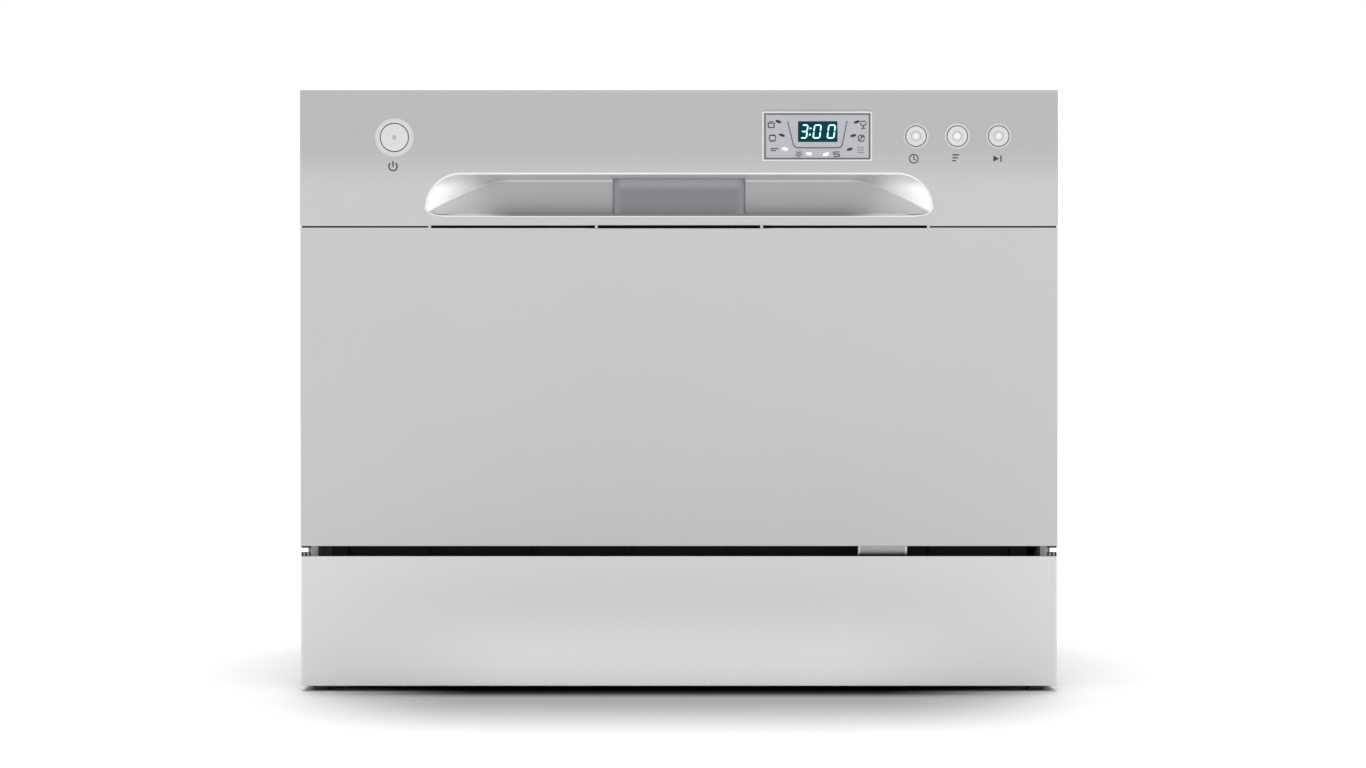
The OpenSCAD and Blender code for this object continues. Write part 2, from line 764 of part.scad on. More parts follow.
module hinge_arms() color("#a5a8ac") both() difference() {
    union() {
        along_x(arm_x, arm_x + arm_t) {
            translate([hinge_y, hinge_z]) circle(neck - 1);
            translate([hinge_y - neck + 1, hinge_z]) square([neck + 5, 120]);
            // tail that carries the eye of the balance spring
            translate([hinge_y, hinge_z]) rotate(-45) translate([0, -eye_r]) square([tail, 2 * eye_r]);
            translate([spring_y, hinge_z - tail * sin(45)]) circle(eye_r);
        }
        box([arm_x - 11, liner_y - liner_t - 2, pocket_z[0] + 10],
            [arm_x + arm_t, liner_y - liner_t, hinge_z + 120]);
        box([arm_x, hinge_y, pocket_z[0] + 10],
            [arm_x + arm_t, liner_y - liner_t, hinge_z + 120]);
    }
    bar_x(arm_x - 5, half_w, hinge_y, hinge_z, pin_r + run);
    bar_x(arm_x - 5, half_w, spring_y, hinge_z - tail * sin(45), 2);
}

// A coil spring that stands upright: one unbroken round wire
spring_turns = 14;
ring_steps = 8;
wire_sides = 6;
function coil_point(t) = [
    (spring_r - spring_wire) * cos(360 * t), (spring_r - spring_wire) * sin(360 * t),
    spring_wire + (spring_top - spring_z - 2 * spring_wire) * t / spring_turns
];
function coil_ring(t) =
    let (a = 360 * t, c = coil_point(t), out = [cos(a), sin(a), 0])
    [for (k = [0 : wire_sides - 1]) let (b = 360 * k / wire_sides)
        c + spring_wire * (cos(b) * out + sin(b) * [0, 0, 1])];
module coil_spring() {
    rings = spring_turns * ring_steps;
    points = [for (i = [0 : rings]) each coil_ring(i / ring_steps)];
    n = wire_sides;
    walls = [for (i = [0 : rings - 1], k = [0 : n - 1])
        let (a = i * n + k, b = i * n + (k + 1) % n)
        each [[a, a + n, b], [b, a + n, b + n]]];
    ends = [[for (k = [0 : n - 1]) k], [for (k = [n - 1 : -1 : 0]) rings * n + k]];
    polyhedron(points, concat(walls, ends));
}

module door_springs() color("#85888c") both()
    translate([spring_x, spring_y, spring_z]) coil_spring();

// ---- Feet ----

module foot(x, y) color("#2a2b2d") {
    bar_z(0, case_z - fit, x, y, foot_r);
    bar_z(case_z - fit - 0.5, boss_top - 4, x, y, foot_stem_r);
}
module foot_front_left() foot(-foot_x, foot_y[0]);
module foot_front_right() foot(foot_x, foot_y[0]);
module foot_rear_left() foot(-foot_x, foot_y[1]);
module foot_rear_right() foot(foot_x, foot_y[1]);

// ---- Door ----

// What the rolled lower edge takes off the door's rear corner
module roll_corner(r) {
    difference() {
        translate([hinge_y, door_z - 1]) square([hinge_r + 2, hinge_r + 1]);
        translate([hinge_y, hinge_z]) circle(r);
    }
}

// Slots in the door's lower edge for the hinge brackets
module hinge_slots() both()
    box([arm_x - 1, hinge_y - neck - 2, door_z - 1],
        [half_w - 1.4, liner_y + 1, hinge_z + neck + 2]);

module door_panel() color("gainsboro") difference() {
    union() {
        difference() {
            translate([0, 0, door_z]) linear_extrude(panel_top - door_z) difference() {
                pan_outline(half_w, panel_bend, liner_y - liner_t);
                translate([0, sheet])
                    pan_outline(half_w - sheet, panel_bend - sheet, liner_y - sheet);
            }
            along_x(-half_w - 1, half_w + 1) roll_corner(hinge_r - liner_t);
        }
        box([-half_w + 1, face_y + sheet / 2, door_z], [half_w - 1, hinge_y, door_z + sheet]);
        box([-half_w + 1, face_y + sheet / 2, panel_top - sheet],
            [half_w - 1, face_y + 15, panel_top]);
        // guard that curves back under the lower edge
        along_x(guard_x, guard_x + guard_w) difference() {
            intersection() {
                translate([face_y + 11, door_z]) circle(guard_r);
                translate([face_y, door_z - guard_r - 1]) square([11, guard_r + 1 + sheet / 2]);
            }
            translate([face_y + 11, door_z]) circle(guard_r - sheet);
        }
    }
    hinge_slots();
}

// Side profile of the fascia, drawn in Y and Z
module fascia_profile(inset) {
    r = fascia_round - inset;
    y0 = face_y + inset;
    z1 = body_h - inset;
    translate([y0, fascia_z + inset]) square([liner_y - liner_t - y0, z1 - r - fascia_z - inset]);
    translate([y0 + r, z1 - r - 0.01]) square([liner_y - liner_t - y0 - r, r + 0.01]);
    translate([y0 + r, z1 - r]) circle(r);
}

// Hollow of the hand recess: a long outline at the face, a shorter one deep inside
module recess_form(grow, ahead) hull() {
    along_y(face_y - ahead, face_y + 0.1) polygon(concat(
        arc(recess_top_half, recess_top - recess_end_r, recess_end_r + grow, 0, 90, 8),
        arc(-recess_top_half, recess_top - recess_end_r, recess_end_r + grow, 90, 180, 8),
        arc(-recess_top_half - recess_end_r + 6, recess_z + 6, 6 + grow, 180, 270, 4),
        arc(recess_top_half + recess_end_r - 6, recess_z + 6, 6 + grow, 270, 360, 4)));
    along_y(face_y + recess_depth + grow - 0.1, face_y + recess_depth + grow)
        translate([-recess_back_half - grow, recess_back_low - grow])
            square([2 * (recess_back_half + grow), recess_back_top - recess_back_low + 2 * grow]);
}

module fascia() color("#d5d6d8") difference() {
    union() {
        difference() {
            along_x(-half_w, half_w) fascia_profile(0);
            along_x(-half_w + fascia_wall, half_w - fascia_wall) fascia_profile(fascia_wall);
            // the back is open to the liner
            box([-half_w + fascia_wall, liner_y - 6, fascia_z + fascia_wall],
                [half_w - fascia_wall, liner_y + 1, body_h - fascia_wall]);
            box([-half_w + fascia_wall, face_y + 16, fascia_z - 1],
                [half_w - fascia_wall, liner_y + 1, fascia_z + 5]);
        }
        box([-half_w, liner_y - liner_t - 1, body_h - fascia_wall], [half_w, liner_y, body_h]);
        intersection() {
            recess_form(fascia_wall, 0);
            box([-half_w, face_y + 1, fascia_z + 1], [half_w, liner_y, body_h - 1]);
        }
        // posts for the circuit boards
        for (p = board_posts()) bar_y(face_y + 1, board_y, p[0], p[1], 3);
    }
    recess_form(0, 2);
    // window for the latch paddle
    box([-paddle_half - 1, paddle_y - 3, paddle_z[0] - 1.5],
        [paddle_half + 1, liner_y - liner_t + 1, paddle_z[1] + 4]);
    rim_hole(-power_x, power_z, power_r);
    for (x = buttons) rim_hole(x, button_z, button_r);
    along_y(face_y - 1, face_y + fascia_wall + 1)
        rounded([window_x, window_z], [window_x + window_w, window_z + window_h], 2);
}
function board_posts() = [
    for (x = [-power_x - 18, -power_x + 18]) [x, power_z + 22],
    for (x = [window_x - 6, buttons[2] + 15], z = [window_z - 2, window_z + window_h + 6]) [x, z]
];
module rim_hole(x, z, r) {
    bar_y(face_y - 1, face_y + fascia_wall + 1, x, z, r + rim_gap + sleeve_t + 0.05);
}

module door_liner() color("#c4c7cb") difference() {
    union() {
        box([-half_w, liner_y - liner_t, hinge_z], [half_w, liner_y, body_h - fascia_wall]);
        along_x(-half_w, half_w) intersection() {
            difference() {
                translate([hinge_y, hinge_z]) circle(hinge_r);
                translate([hinge_y, hinge_z]) circle(hinge_r - liner_t);
            }
            translate([hinge_y, door_z - 1]) square([hinge_r + 1, hinge_r + 1]);
        }
        along_y(pocket_y - liner_t, liner_y) rounded(
            [-pocket_half - liner_t, pocket_z[0] - liner_t],
            [pocket_half + liner_t, pocket_z[1] + liner_t], 13.2);
    }
    along_y(pocket_y, liner_y + 1)
        rounded([-pocket_half, pocket_z[0]], [pocket_half, pocket_z[1]], 12);
    hinge_slots();
    // slot for the striker
    box([-hook_half - 6, liner_y - 2, striker_z[0] - 1.5],
        [hook_half + 6, liner_y + 1, striker_z[1] + 1.5]);
    // opening for the dispenser
    along_y(pocket_y - 5, liner_y) rounded([disp_x[0] + 4, disp_z[0] + 4],
        [disp_x[1] - 4, disp_z[1] - 4], 6);
    for (p = door_screw_places()) bar_y(liner_y - 5, liner_y + 1, p[0], p[1], 1.7);
}
function door_screw_places() =
    [for (x = [-half_w + 7, half_w - 7], i = [0 : 3])
        [x, hinge_z + 57.5 + i * (body_h - hinge_z - 100.5) / 3]];

module door_screws() color("silver")
    for (p = door_screw_places()) {
        bar_y(liner_y, liner_y + 1.2, p[0], p[1], 3.2);
        bar_y(liner_y - 9, liner_y, p[0], p[1], 1.6);
    }

module door_insulation() color("#55524c") difference() {
    box([-pocket_half - 20, face_y + sheet + fit, pocket_z[0]],
        [pocket_half + 20, pocket_y - liner_t - fit, panel_top - 4]);
    box([disp_x[0] - 2, front_y, disp_z[0] - 2], [disp_x[1] + 2, back_y, disp_z[1] + 2]);
}

module dispenser_body() color("#c9cbce") difference() {
    union() {
        along_y(pocket_y, pocket_y + disp_proud - lid_t)
            rounded([disp_x[0], disp_z[0]], [disp_x[1], disp_z[1]], 9);
        along_y(pocket_y - disp_deep, pocket_y + 1) rounded([disp_x[0] + 4.3, disp_z[0] + 4.3],
            [disp_x[1] - 4.3, disp_z[1] - 4.3], 6);
        // ears and pin for the lid
        for (z = [lid_z[0] + fit - 5, lid_z[1]])
            box([lid_x[0] - 3, pocket_y, z], [lid_x[0] + 3, lid_pin_y() + 1.5, z + 5 - fit]);
        bar_z(lid_z[0] - 1, lid_z[1] + 1, lid_x[0], lid_pin_y(), lid_pin);
    }
    // detergent cup, and the well behind the lid's hub
    along_y(pocket_y - disp_deep + 2, pocket_y + 10)
        rounded([lid_x[0] + 8, lid_z[0] + 5], [lid_x[1] - 5, lid_z[1] - 5], 5);
    difference() {
        box([lid_x[0] - 4, pocket_y - 1.5, lid_z[0]], [lid_x[0] + 5, pocket_y + 10, lid_z[1]]);
        bar_z(0, body_h, lid_x[0], lid_pin_y(), lid_pin);
    }
    // rinse aid filler
    bar_y(pocket_y - 12, pocket_y + 10, cap_at[0], cap_at[1], cap_r - 4);
}
function lid_pin_y() = pocket_y + disp_proud - lid_t + fit + 1;

module dispenser_lid() color("#b7babe") {
    y0 = pocket_y + disp_proud - lid_t + fit;
    difference() {
        union() {
            box([lid_x[0] + 1, y0, lid_z[0] + fit], [lid_x[1], y0 + lid_t, lid_z[1] - fit]);
            bar_z(lid_z[0] + fit, lid_z[1] - fit, lid_x[0], lid_pin_y(), lid_pin + 1.2);
            // catch at the free edge
            box([lid_x[1] - 14, y0 + lid_t - 0.5, (lid_z[0] + lid_z[1]) / 2 - 10],
                [lid_x[1] - 4, y0 + lid_t + 1.2, (lid_z[0] + lid_z[1]) / 2 + 10]);
        }
        bar_z(0, body_h, lid_x[0], lid_pin_y(), lid_pin + run);
    }
}

module rinse_aid_cap() color("#2e6f9e") {
    y0 = pocket_y + disp_proud - lid_t + fit;
    bar_y(y0, y0 + 4, cap_at[0], cap_at[1], cap_r);
    bar_y(y0 - 10, y0 + 1, cap_at[0], cap_at[1], cap_r - 4 - fit);
    box([cap_at[0] - cap_r + 2, y0 + 3, cap_at[1] - 2], [cap_at[0] + cap_r - 2, y0 + 7, cap_at[1] + 2]);
}

// ---- Controls ----

module display_window() color("#c6c8c9")
    along_y(face_y + 0.1, face_y + window_t) rounded([window_x + 0.15, window_z + 0.15],
        [window_x + window_w - 0.15, window_z + window_h - 0.15], 2);

module display_module() color("#16333a") {
    x = window_x + window_w / 2 + 0.8;
    z = window_z + window_h / 2 + 3.5;
    box([x - led_w / 2, face_y + window_t + 0.2, z - led_h / 2], [x + led_w / 2, board_y, z + led_h / 2]);
}

module control_board() color("#2f6b3f") {
    box([window_x - 11, board_y, window_z - 6], [buttons[2] + 20, board_y + board_t, window_z + window_h + 10]);
    box([-power_x - 23, board_y, power_z - 12], [-power_x + 23, board_y + board_t, power_z + 27]);
    for (x = buttons) bar_y(board_y - 3, board_y, x, button_z, 3);
    bar_y(board_y - 3, board_y, -power_x, power_z, 3);
}

module rim(x, z, r, w) difference() {
    union() {
        bar_y(face_y - rim_proud, face_y, x, z, r + rim_gap + w);
        bar_y(face_y, face_y + fascia_wall + 1.5, x, z, r + rim_gap + sleeve_t);
    }
    bar_y(front_y - 1, face_y + 9, x, z, r + rim_gap);
}
module button_rims() color("#e1e2e3") {
    rim(-power_x, power_z, power_r, power_rim_w);
    for (x = buttons) rim(x, button_z, button_r, rim_w);
}

module push_button(x, z, r) color("#e4e5e6") {
    bar_y(face_y - rim_proud + 0.2, face_y + 2.6, x, z, r);
    bar_y(face_y + 2, board_y - 3 - button_travel - fit, x, z, 2.5);
}
module power_button() difference() {
    push_button(-power_x, power_z, power_r);
    // ring pressed round the middle of the button
    difference() {
        bar_y(front_y, face_y - rim_proud + 0.6, -power_x, power_z, 3.9);
        bar_y(front_y, face_y, -power_x, power_z, 3.1);
    }
}
module delay_button() push_button(buttons[0], button_z, button_r);
module program_button() push_button(buttons[1], button_z, button_r);
module start_button() push_button(buttons[2], button_z, button_r);

// ---- Latch ----

module latch_housing() color("#303236") {
    y1 = liner_y - liner_t;
    difference() {
        box([-paddle_half - 5, y1 - housing_t, paddle_z[1] + 1], [paddle_half + 5, y1, hook_axis[1] + 8]);
        box([-hook_half - 1, y1 - 5, hook_low - 4], [hook_half + 1, y1 + 1, body_h]);
    }
    both() {
        along_x(hook_half + 1, hook_half + 1 + housing_t) {
            translate(hook_axis) circle(5);
            translate([hook_axis[0], hook_axis[1] - 5]) square([y1 - hook_axis[0], 10]);
        }
        along_x(paddle_half + 1, paddle_half + 1 + housing_t) {
            translate(paddle_axis) circle(4);
            translate([paddle_axis[0], paddle_axis[1] - 4]) square([y1 - paddle_axis[0], 8]);
        }
    }
    bar_x(-hook_half - 2, hook_half + 2, hook_axis[0], hook_axis[1], hook_pin);
    bar_x(-paddle_half - 2, paddle_half + 2, paddle_axis[0], paddle_axis[1], paddle_pin);
}

module latch_paddle() color("#77797c") difference() {
    union() {
        box([-paddle_half, paddle_y, paddle_z[0]],
            [paddle_half, paddle_y + paddle_t, paddle_axis[1]]);
        bar_x(-paddle_half, paddle_half, paddle_axis[0], paddle_axis[1], 4);
        // arm and post that lift the hook's front end
        box([-5, post_y, paddle_axis[1] - 2], [5, paddle_axis[0], paddle_axis[1] + 2]);
        box([-5, post_y, paddle_axis[1] - 2], [5, post_y + post_t, hook_low - fit]);
    }
    bar_x(-half_w, half_w, paddle_axis[0], paddle_axis[1], paddle_pin + run);
}

module latch_hook() color("#d8d4c8") difference() {
    union() {
        bar_x(-hook_half, hook_half, hook_axis[0], hook_axis[1], 5);
        box([-hook_half, post_y, hook_low], [hook_half, hook_axis[0], hook_low + 6]);
        box([-hook_half, hook_axis[0], hook_axis[1] - 5], [hook_half, tooth_y + 2, hook_axis[1] + 2]);
        box([-hook_half, tooth_y - 2, hook_axis[1] - 5], [hook_half, tooth_y + 2, striker_z[1] + 0.8]);
    }
    bar_x(-half_w, half_w, hook_axis[0], hook_axis[1], hook_pin + run);
}

// ---- Washing pieces that turn ----

module spray_arm() color("#8f949a") difference() {
    union() {
        bar_z(arm_z, arm_z + arm_hub_h, 0, 0, post_r + 5);
        for (a = [0, 180]) rotate(a) hull() {
            bar_z(arm_z + 3, arm_z + 13, 12, 0, 19, $fn = 32);
            bar_z(arm_z + 4, arm_z + 11, arm_half - 12, 0, 12, $fn = 32);
        }
    }
    bar_z(0, body_h, 0, 0, post_r + run);
    for (s = [-1, 1], d = [45, 85, 125, 165])
        bar_z(arm_z + 8, arm_z + 20, s * d, s * 4, 1.6);
}

module filter_cup() color("#6d7278") {
    z0 = plate_z + plate_t + fit;
    translate([cup_at[0], cup_at[1], 0]) {
        difference() {
            union() {
                bar_z(sump_z + 20, z0 + 1, 0, 0, cup_r);
                bar_z(z0, z0 + 2, 0, 0, cup_r + 4);
            }
            bar_z(sump_z + 22, z0 + 5, 0, 0, cup_r - 2);
        }
        box([-cup_r + 1, -2, z0 - 12], [cup_r - 1, 2, z0 + 9]);
    }
}

// ---- Rack ----

// The rack is made of flat mats that stand a hair apart: a floor, four sides,
// four corner bends of the rim and two rows of tines
module rack_basket() color("#d9dde0") {
    part = 0.1;
    bend = 12;
    cross = [for (i = [0 : rack_rows]) rack_front + i * wire_step];
    long = [for (i = [-4 : 4]) i * long_step];
    frame_r = wire_r + 0.4;
    foot_z = rack_z + frame_r + part;          // lower end of the side wires
    // floor: a frame with round corners and wires both ways
    for (y = [rack_front, rack_back]) bar_x(-rack_half + bend, rack_half - bend, y, rack_z, frame_r);
    for (x = [-rack_half, rack_half]) bar_y(rack_front + bend, rack_back - bend, x, rack_z, frame_r);
    corner_bends(rack_z, frame_r, bend);
    for (i = [1 : rack_rows - 1]) bar_x(-rack_half, rack_half, cross[i], rack_z, wire_r);
    for (x = long) bar_y(rack_front, rack_back, x, long_z, wire_r);
    // front and back
    for (y = [rack_front, rack_back]) {
        bar_x(-rack_half + bend + part, rack_half - bend - part, y, rack_top, rim_r);
        for (x = long) bar_z(long_z + wire_r + part, rack_top, x, y, wire_r);
        bar_x(-rack_half + bend + part, rack_half - bend - part, y, mid_z, wire_r);
    }
    // left and right
    for (x = [-rack_half, rack_half]) {
        bar_y(rack_front + bend + part, rack_back - bend - part, x, rack_top, rim_r);
        for (i = [1 : rack_rows - 1]) bar_z(foot_z, rack_top, x, cross[i], wire_r);
        bar_y(rack_front + bend + part, rack_back - bend - part, x, mid_z, wire_r);
    }
    corner_bends(rack_top, rim_r, bend);
    corner_bends(mid_z, wire_r, bend);
    // rows of tines that hold plates upright, each on its own bar
    for (row = tine_rows) {
        z = long_z + 2 * wire_r + part;
        bar_x(-rack_half + 6, tine_end, cross[row] + tine_shift, z, wire_r);
        for (i = [0 : floor((tine_end + rack_half - 20) / tine_step)])
            bar_z(z, z + tine_h, -rack_half + 20 + tine_step * i, cross[row] + tine_shift, wire_r);
    }
}
module corner_bends(z, r, bend)
    for (s = [-1, 1], e = [0, 1])
        translate([s * (rack_half - bend), e ? rack_back - bend : rack_front + bend, z])
            rotate(s > 0 ? (e ? 0 : -90) : (e ? 90 : 180))
                rotate_extrude(angle = 90) translate([bend, 0]) circle(r);

// Rails of a C section that run over the rollers
module rack_rails() color("#b4b8bc") both()
    along_y(rail_y[0], rail_y[1]) {
        translate([rail_x, rail_low]) square([rail_t, rail_high - rail_low]);
        translate([rail_x, rail_low]) square([rail_w, rail_t]);
        translate([rail_x, rail_high - rail_t]) square([rail_w, rail_t]);
    }

module rail_clips() color("#8b9096") both()
    for (row = clip_rows) difference() {
        y = rack_front + row * wire_step;
        box([rack_half - 5, y - 7, rack_top - 6], [rail_x, y + 7, rack_top + 6]);
        bar_y(y - 8, y + 8, rack_half, rack_top, rim_r);
    }

module roller(y) both() difference() {
    bar_x(roller_x, roller_x + roller_w, y, roller_z, roller_r);
    bar_x(roller_x - 1, roller_x + roller_w + 1, y, roller_z, axle_r + run);
}
module front_rollers() color("#e8e8e6") roller(roller_y[0]);
module rear_rollers() color("#e8e8e6") roller(roller_y[1]);

module roller_axles() color("#8c8f93") both()
    for (y = roller_y) {
        bar_x(roller_x - 0.5, tub_half, y, roller_z, axle_r);
        bar_x(roller_x + roller_w + 0.5, tub_half, y, roller_z, roller_r);
        bar_x(roller_x - 2.2, roller_x - 0.3, y, roller_z, axle_r + 1.8);
    }

// The basket is made of flat walls that stand a hair apart: a floor, two long
// sides, four walls across and a handle
module cutlery_basket() color("#9aa0a6") {
    wall = 2;
    part = 0.1;
    lo = basket_lo + [0, 0, basket_z];
    hi = basket_hi + [0, 0, basket_z + basket_h];
    cell = (hi[1] - lo[1] - wall) / 3;
    mid_x = (lo[0] + hi[0]) / 2;
    slot_w = 5;
    slots_y = floor((hi[1] - lo[1] - 12) / 9.6);
    difference() {
        box(lo, [hi[0], hi[1], lo[2] + wall]);
        for (i = [0 : 6], j = [0 : 2])
            box([lo[0] + 6 + i * 9, lo[1] + 8 + j * cell, lo[2] - 1],
                [lo[0] + 6 + slot_w + i * 9, lo[1] - 4 + (j + 1) * cell, lo[2] + wall + 1]);
    }
    for (x = [lo[0], hi[0] - wall]) difference() {
        box([x, lo[1], lo[2] + wall + part], [x + wall, hi[1], hi[2]]);
        for (i = [0 : slots_y - 1])
            box([x - 1, lo[1] + 6 + i * 9.6, lo[2] + 8],
                [x + wall + 1, lo[1] + 6 + slot_w + i * 9.6, lo[2] + 60]);
    }
    for (i = [0 : 3]) difference() {
        y = lo[1] + i * cell;
        box([lo[0] + wall + part, y, lo[2] + wall + part], [hi[0] - wall - part, y + wall, hi[2]]);
        for (k = [0 : 6]) box([lo[0] + 6 + k * 9, y - 1, lo[2] + 8],
            [lo[0] + 6 + slot_w + k * 9, y + wall + 1, lo[2] + 60]);
    }
    // carrying handle on the two middle walls
    y0 = lo[1] + cell;
    y1 = lo[1] + 2 * cell + wall;
    box([mid_x - 3, y0, hi[2] + part], [mid_x + 3, y0 + 8, hi[2] + 36]);
    box([mid_x - 3, y1 - 8, hi[2] + part], [mid_x + 3, y1, hi[2] + 36]);
    box([mid_x - 5, y0 - 4, hi[2] + 34], [mid_x + 5, y1 + 4, hi[2] + 42]);
}

outer_casing();
rear_panel();
base_tray();
kick_panel();
tub();
tub_insulation();
door_seal();
sump();
filter_plate();
wash_pump();
drain_pump();
heater();
water_softener();
air_breaker();
inlet_valve();
drain_outlet();
cable_gland();
feed_pipe();
spray_post();
door_striker();
hinge_brackets();
hinge_pins();
door_springs();
roller_axles();
casing_screws();
power_board();
foot_front_left();
foot_front_right();
foot_rear_left();
foot_rear_right();
door_panel();
fascia();
door_liner();
door_insulation();
hinge_arms();
dispenser_body();
display_window();
display_module();
control_board();
button_rims();
latch_housing();
door_screws();
dispenser_lid();
rinse_aid_cap();
power_button();
delay_button();
program_button();
start_button();
latch_paddle();
latch_hook();
spray_arm();
filter_cup();
salt_cap();
rack_basket();
rack_rails();
rail_clips();
front_rollers();
rear_rollers();
cutlery_basket();
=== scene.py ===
"""Looks of a countertop dishwasher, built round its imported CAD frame, in metres."""

import json
import math

import bmesh
import bpy
import numpy as np
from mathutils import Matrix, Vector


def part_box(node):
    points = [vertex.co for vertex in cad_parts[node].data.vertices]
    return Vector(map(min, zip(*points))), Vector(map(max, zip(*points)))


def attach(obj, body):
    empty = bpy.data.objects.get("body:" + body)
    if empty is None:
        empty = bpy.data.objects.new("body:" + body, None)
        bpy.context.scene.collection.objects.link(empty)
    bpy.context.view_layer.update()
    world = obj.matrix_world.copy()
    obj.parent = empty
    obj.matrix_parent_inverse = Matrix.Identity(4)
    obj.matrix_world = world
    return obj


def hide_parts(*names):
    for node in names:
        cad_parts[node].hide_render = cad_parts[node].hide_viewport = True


bl_info = {
    "name": "Countertop dishwasher",
    "version": (1, 0, 0),
    "blender": (4, 5, 0),
    "location": "3D View > Sidebar > Dishwasher",
    "description": "Dresses the packed frame of a countertop dishwasher and sets its studio",
    "category": "Object",
}

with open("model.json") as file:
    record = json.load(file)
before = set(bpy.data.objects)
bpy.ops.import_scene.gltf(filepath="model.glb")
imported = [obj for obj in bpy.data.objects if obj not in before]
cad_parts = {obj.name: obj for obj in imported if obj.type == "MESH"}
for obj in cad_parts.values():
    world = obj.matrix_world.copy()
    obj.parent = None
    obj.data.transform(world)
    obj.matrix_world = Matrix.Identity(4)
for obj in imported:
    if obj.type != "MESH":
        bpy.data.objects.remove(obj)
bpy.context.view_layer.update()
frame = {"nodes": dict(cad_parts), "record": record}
MM = 0.001

# Places that come from the frame
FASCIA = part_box("fascia")
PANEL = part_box("door_panel")
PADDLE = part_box("latch_paddle")
FACE_Y = FASCIA[0].y


def middle(node):
    """Middle of a node's box."""
    low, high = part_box(node)
    return (low + high) / 2


# ---- Sizes and colours ----


def pick_colour(name, description, default):
    """A colour to pick."""
    return bpy.props.FloatVectorProperty(
        name=name, description=description, subtype="COLOR", size=3, default=default, min=0.0, max=1.0)


def pick_length(name, description, default, low, high):
    """A length in metres."""
    return bpy.props.FloatProperty(
        name=name, description=description, default=default, min=low, max=high, unit="LENGTH")


def pick_number(name, description, default, high, low=0.0):
    """A plain number."""
    return bpy.props.FloatProperty(name=name, description=description, default=default, min=low, max=high)


class DISHWASHER_PG_finish(bpy.types.PropertyGroup):
    """Colours of the surfaces"""

    silver: pick_colour("Silver", "Paint of the door, fascia and casing", (0.5, 0.503, 0.507))
    kick: pick_colour("Kick", "Paint of the kick panel", (0.635, 0.637, 0.64))
    black: pick_colour("Black", "Black mouldings and rubber", (0.007, 0.007, 0.008))
    print_ink: pick_colour("Ink", "Printed marks", (0.055, 0.057, 0.06))
    led: pick_colour("Digits", "Lit digits", (0.45, 1.0, 0.98))
    led_strength: pick_number("Digit light", "How strongly the digits shine", 1.15, 20.0)


class DISHWASHER_PG_recess(bpy.types.PropertyGroup):
    """Sizes of the hand recess"""

    half: pick_length("Half width", "Middle to the tip of the recess", 0.184, 0.15, 0.2)
    corner: pick_length("Corner", "Radius of the round upper ends", 0.026, 0.01, 0.03)
    low: pick_length("Lower edge", "Height of the lower edge", 0.346, 0.34, 0.36)
    high: pick_length("Upper edge", "Height of the upper edge", 0.3767, 0.36, 0.39)
    depth: pick_length("Depth", "Depth of the back wall", 0.0305, 0.01, 0.0315)
    crease_half: pick_length("Crease", "Middle to the upper corner of the back wall", 0.131, 0.1, 0.15)
    lip: pick_length("Lip", "Radius of the bead round the opening", 0.0009, 0.0003, 0.002)


class DISHWASHER_PG_stage(bpy.types.PropertyGroup):
    """Light and camera"""

    floor_half: pick_length("Floor", "Half width of the floor", 14.0, 1.0, 40.0)
    sky: pick_number("Sky", "Strength of the even white light", 1.03, 5.0)
    key: pick_number("Key light", "Power of the large soft light in watts", 5.0, 500.0)
    sun: pick_number("High light", "Strength of the soft light from above and behind", 2.3, 20.0)
    distance: pick_length("Distance", "Camera to the door's face", 2.341, 0.5, 6.0)
    lens: pick_number("Lens", "Focal length in millimetres", 85.0, 200.0, low=20.0)


# ---- Shader maths ----


def maths_of(operation):
    """A method that adds the Math node of one of Python's operators."""
    return lambda value, *others: value.maths(operation, *others)


class Value:
    """A number socket of a finish. Python's operators on it add Math nodes."""

    __add__ = __radd__ = maths_of("ADD")
    __sub__ = maths_of("SUBTRACT")
    __mul__ = __rmul__ = maths_of("MULTIPLY")
    __truediv__ = maths_of("DIVIDE")
    __abs__ = maths_of("ABSOLUTE")

    def __init__(self, graph, socket):
        self.graph, self.socket = graph, socket

    def __rsub__(self, other):
        return self.graph.value(other).maths("SUBTRACT", self)

    def maths(self, operation, *others):
        """The Math node of an operation on this value."""
        return self.graph.node("ShaderNodeMath", {"operation": operation}, dict(enumerate((self, *others))))

    def ramp(self, low, high):
        """0 below low, 1 above high, smooth between them."""
        return self.graph.node(
            "ShaderNodeMapRange", {"interpolation_type": "SMOOTHSTEP"},
            {"Value": self, "From Min": low, "From Max": high})


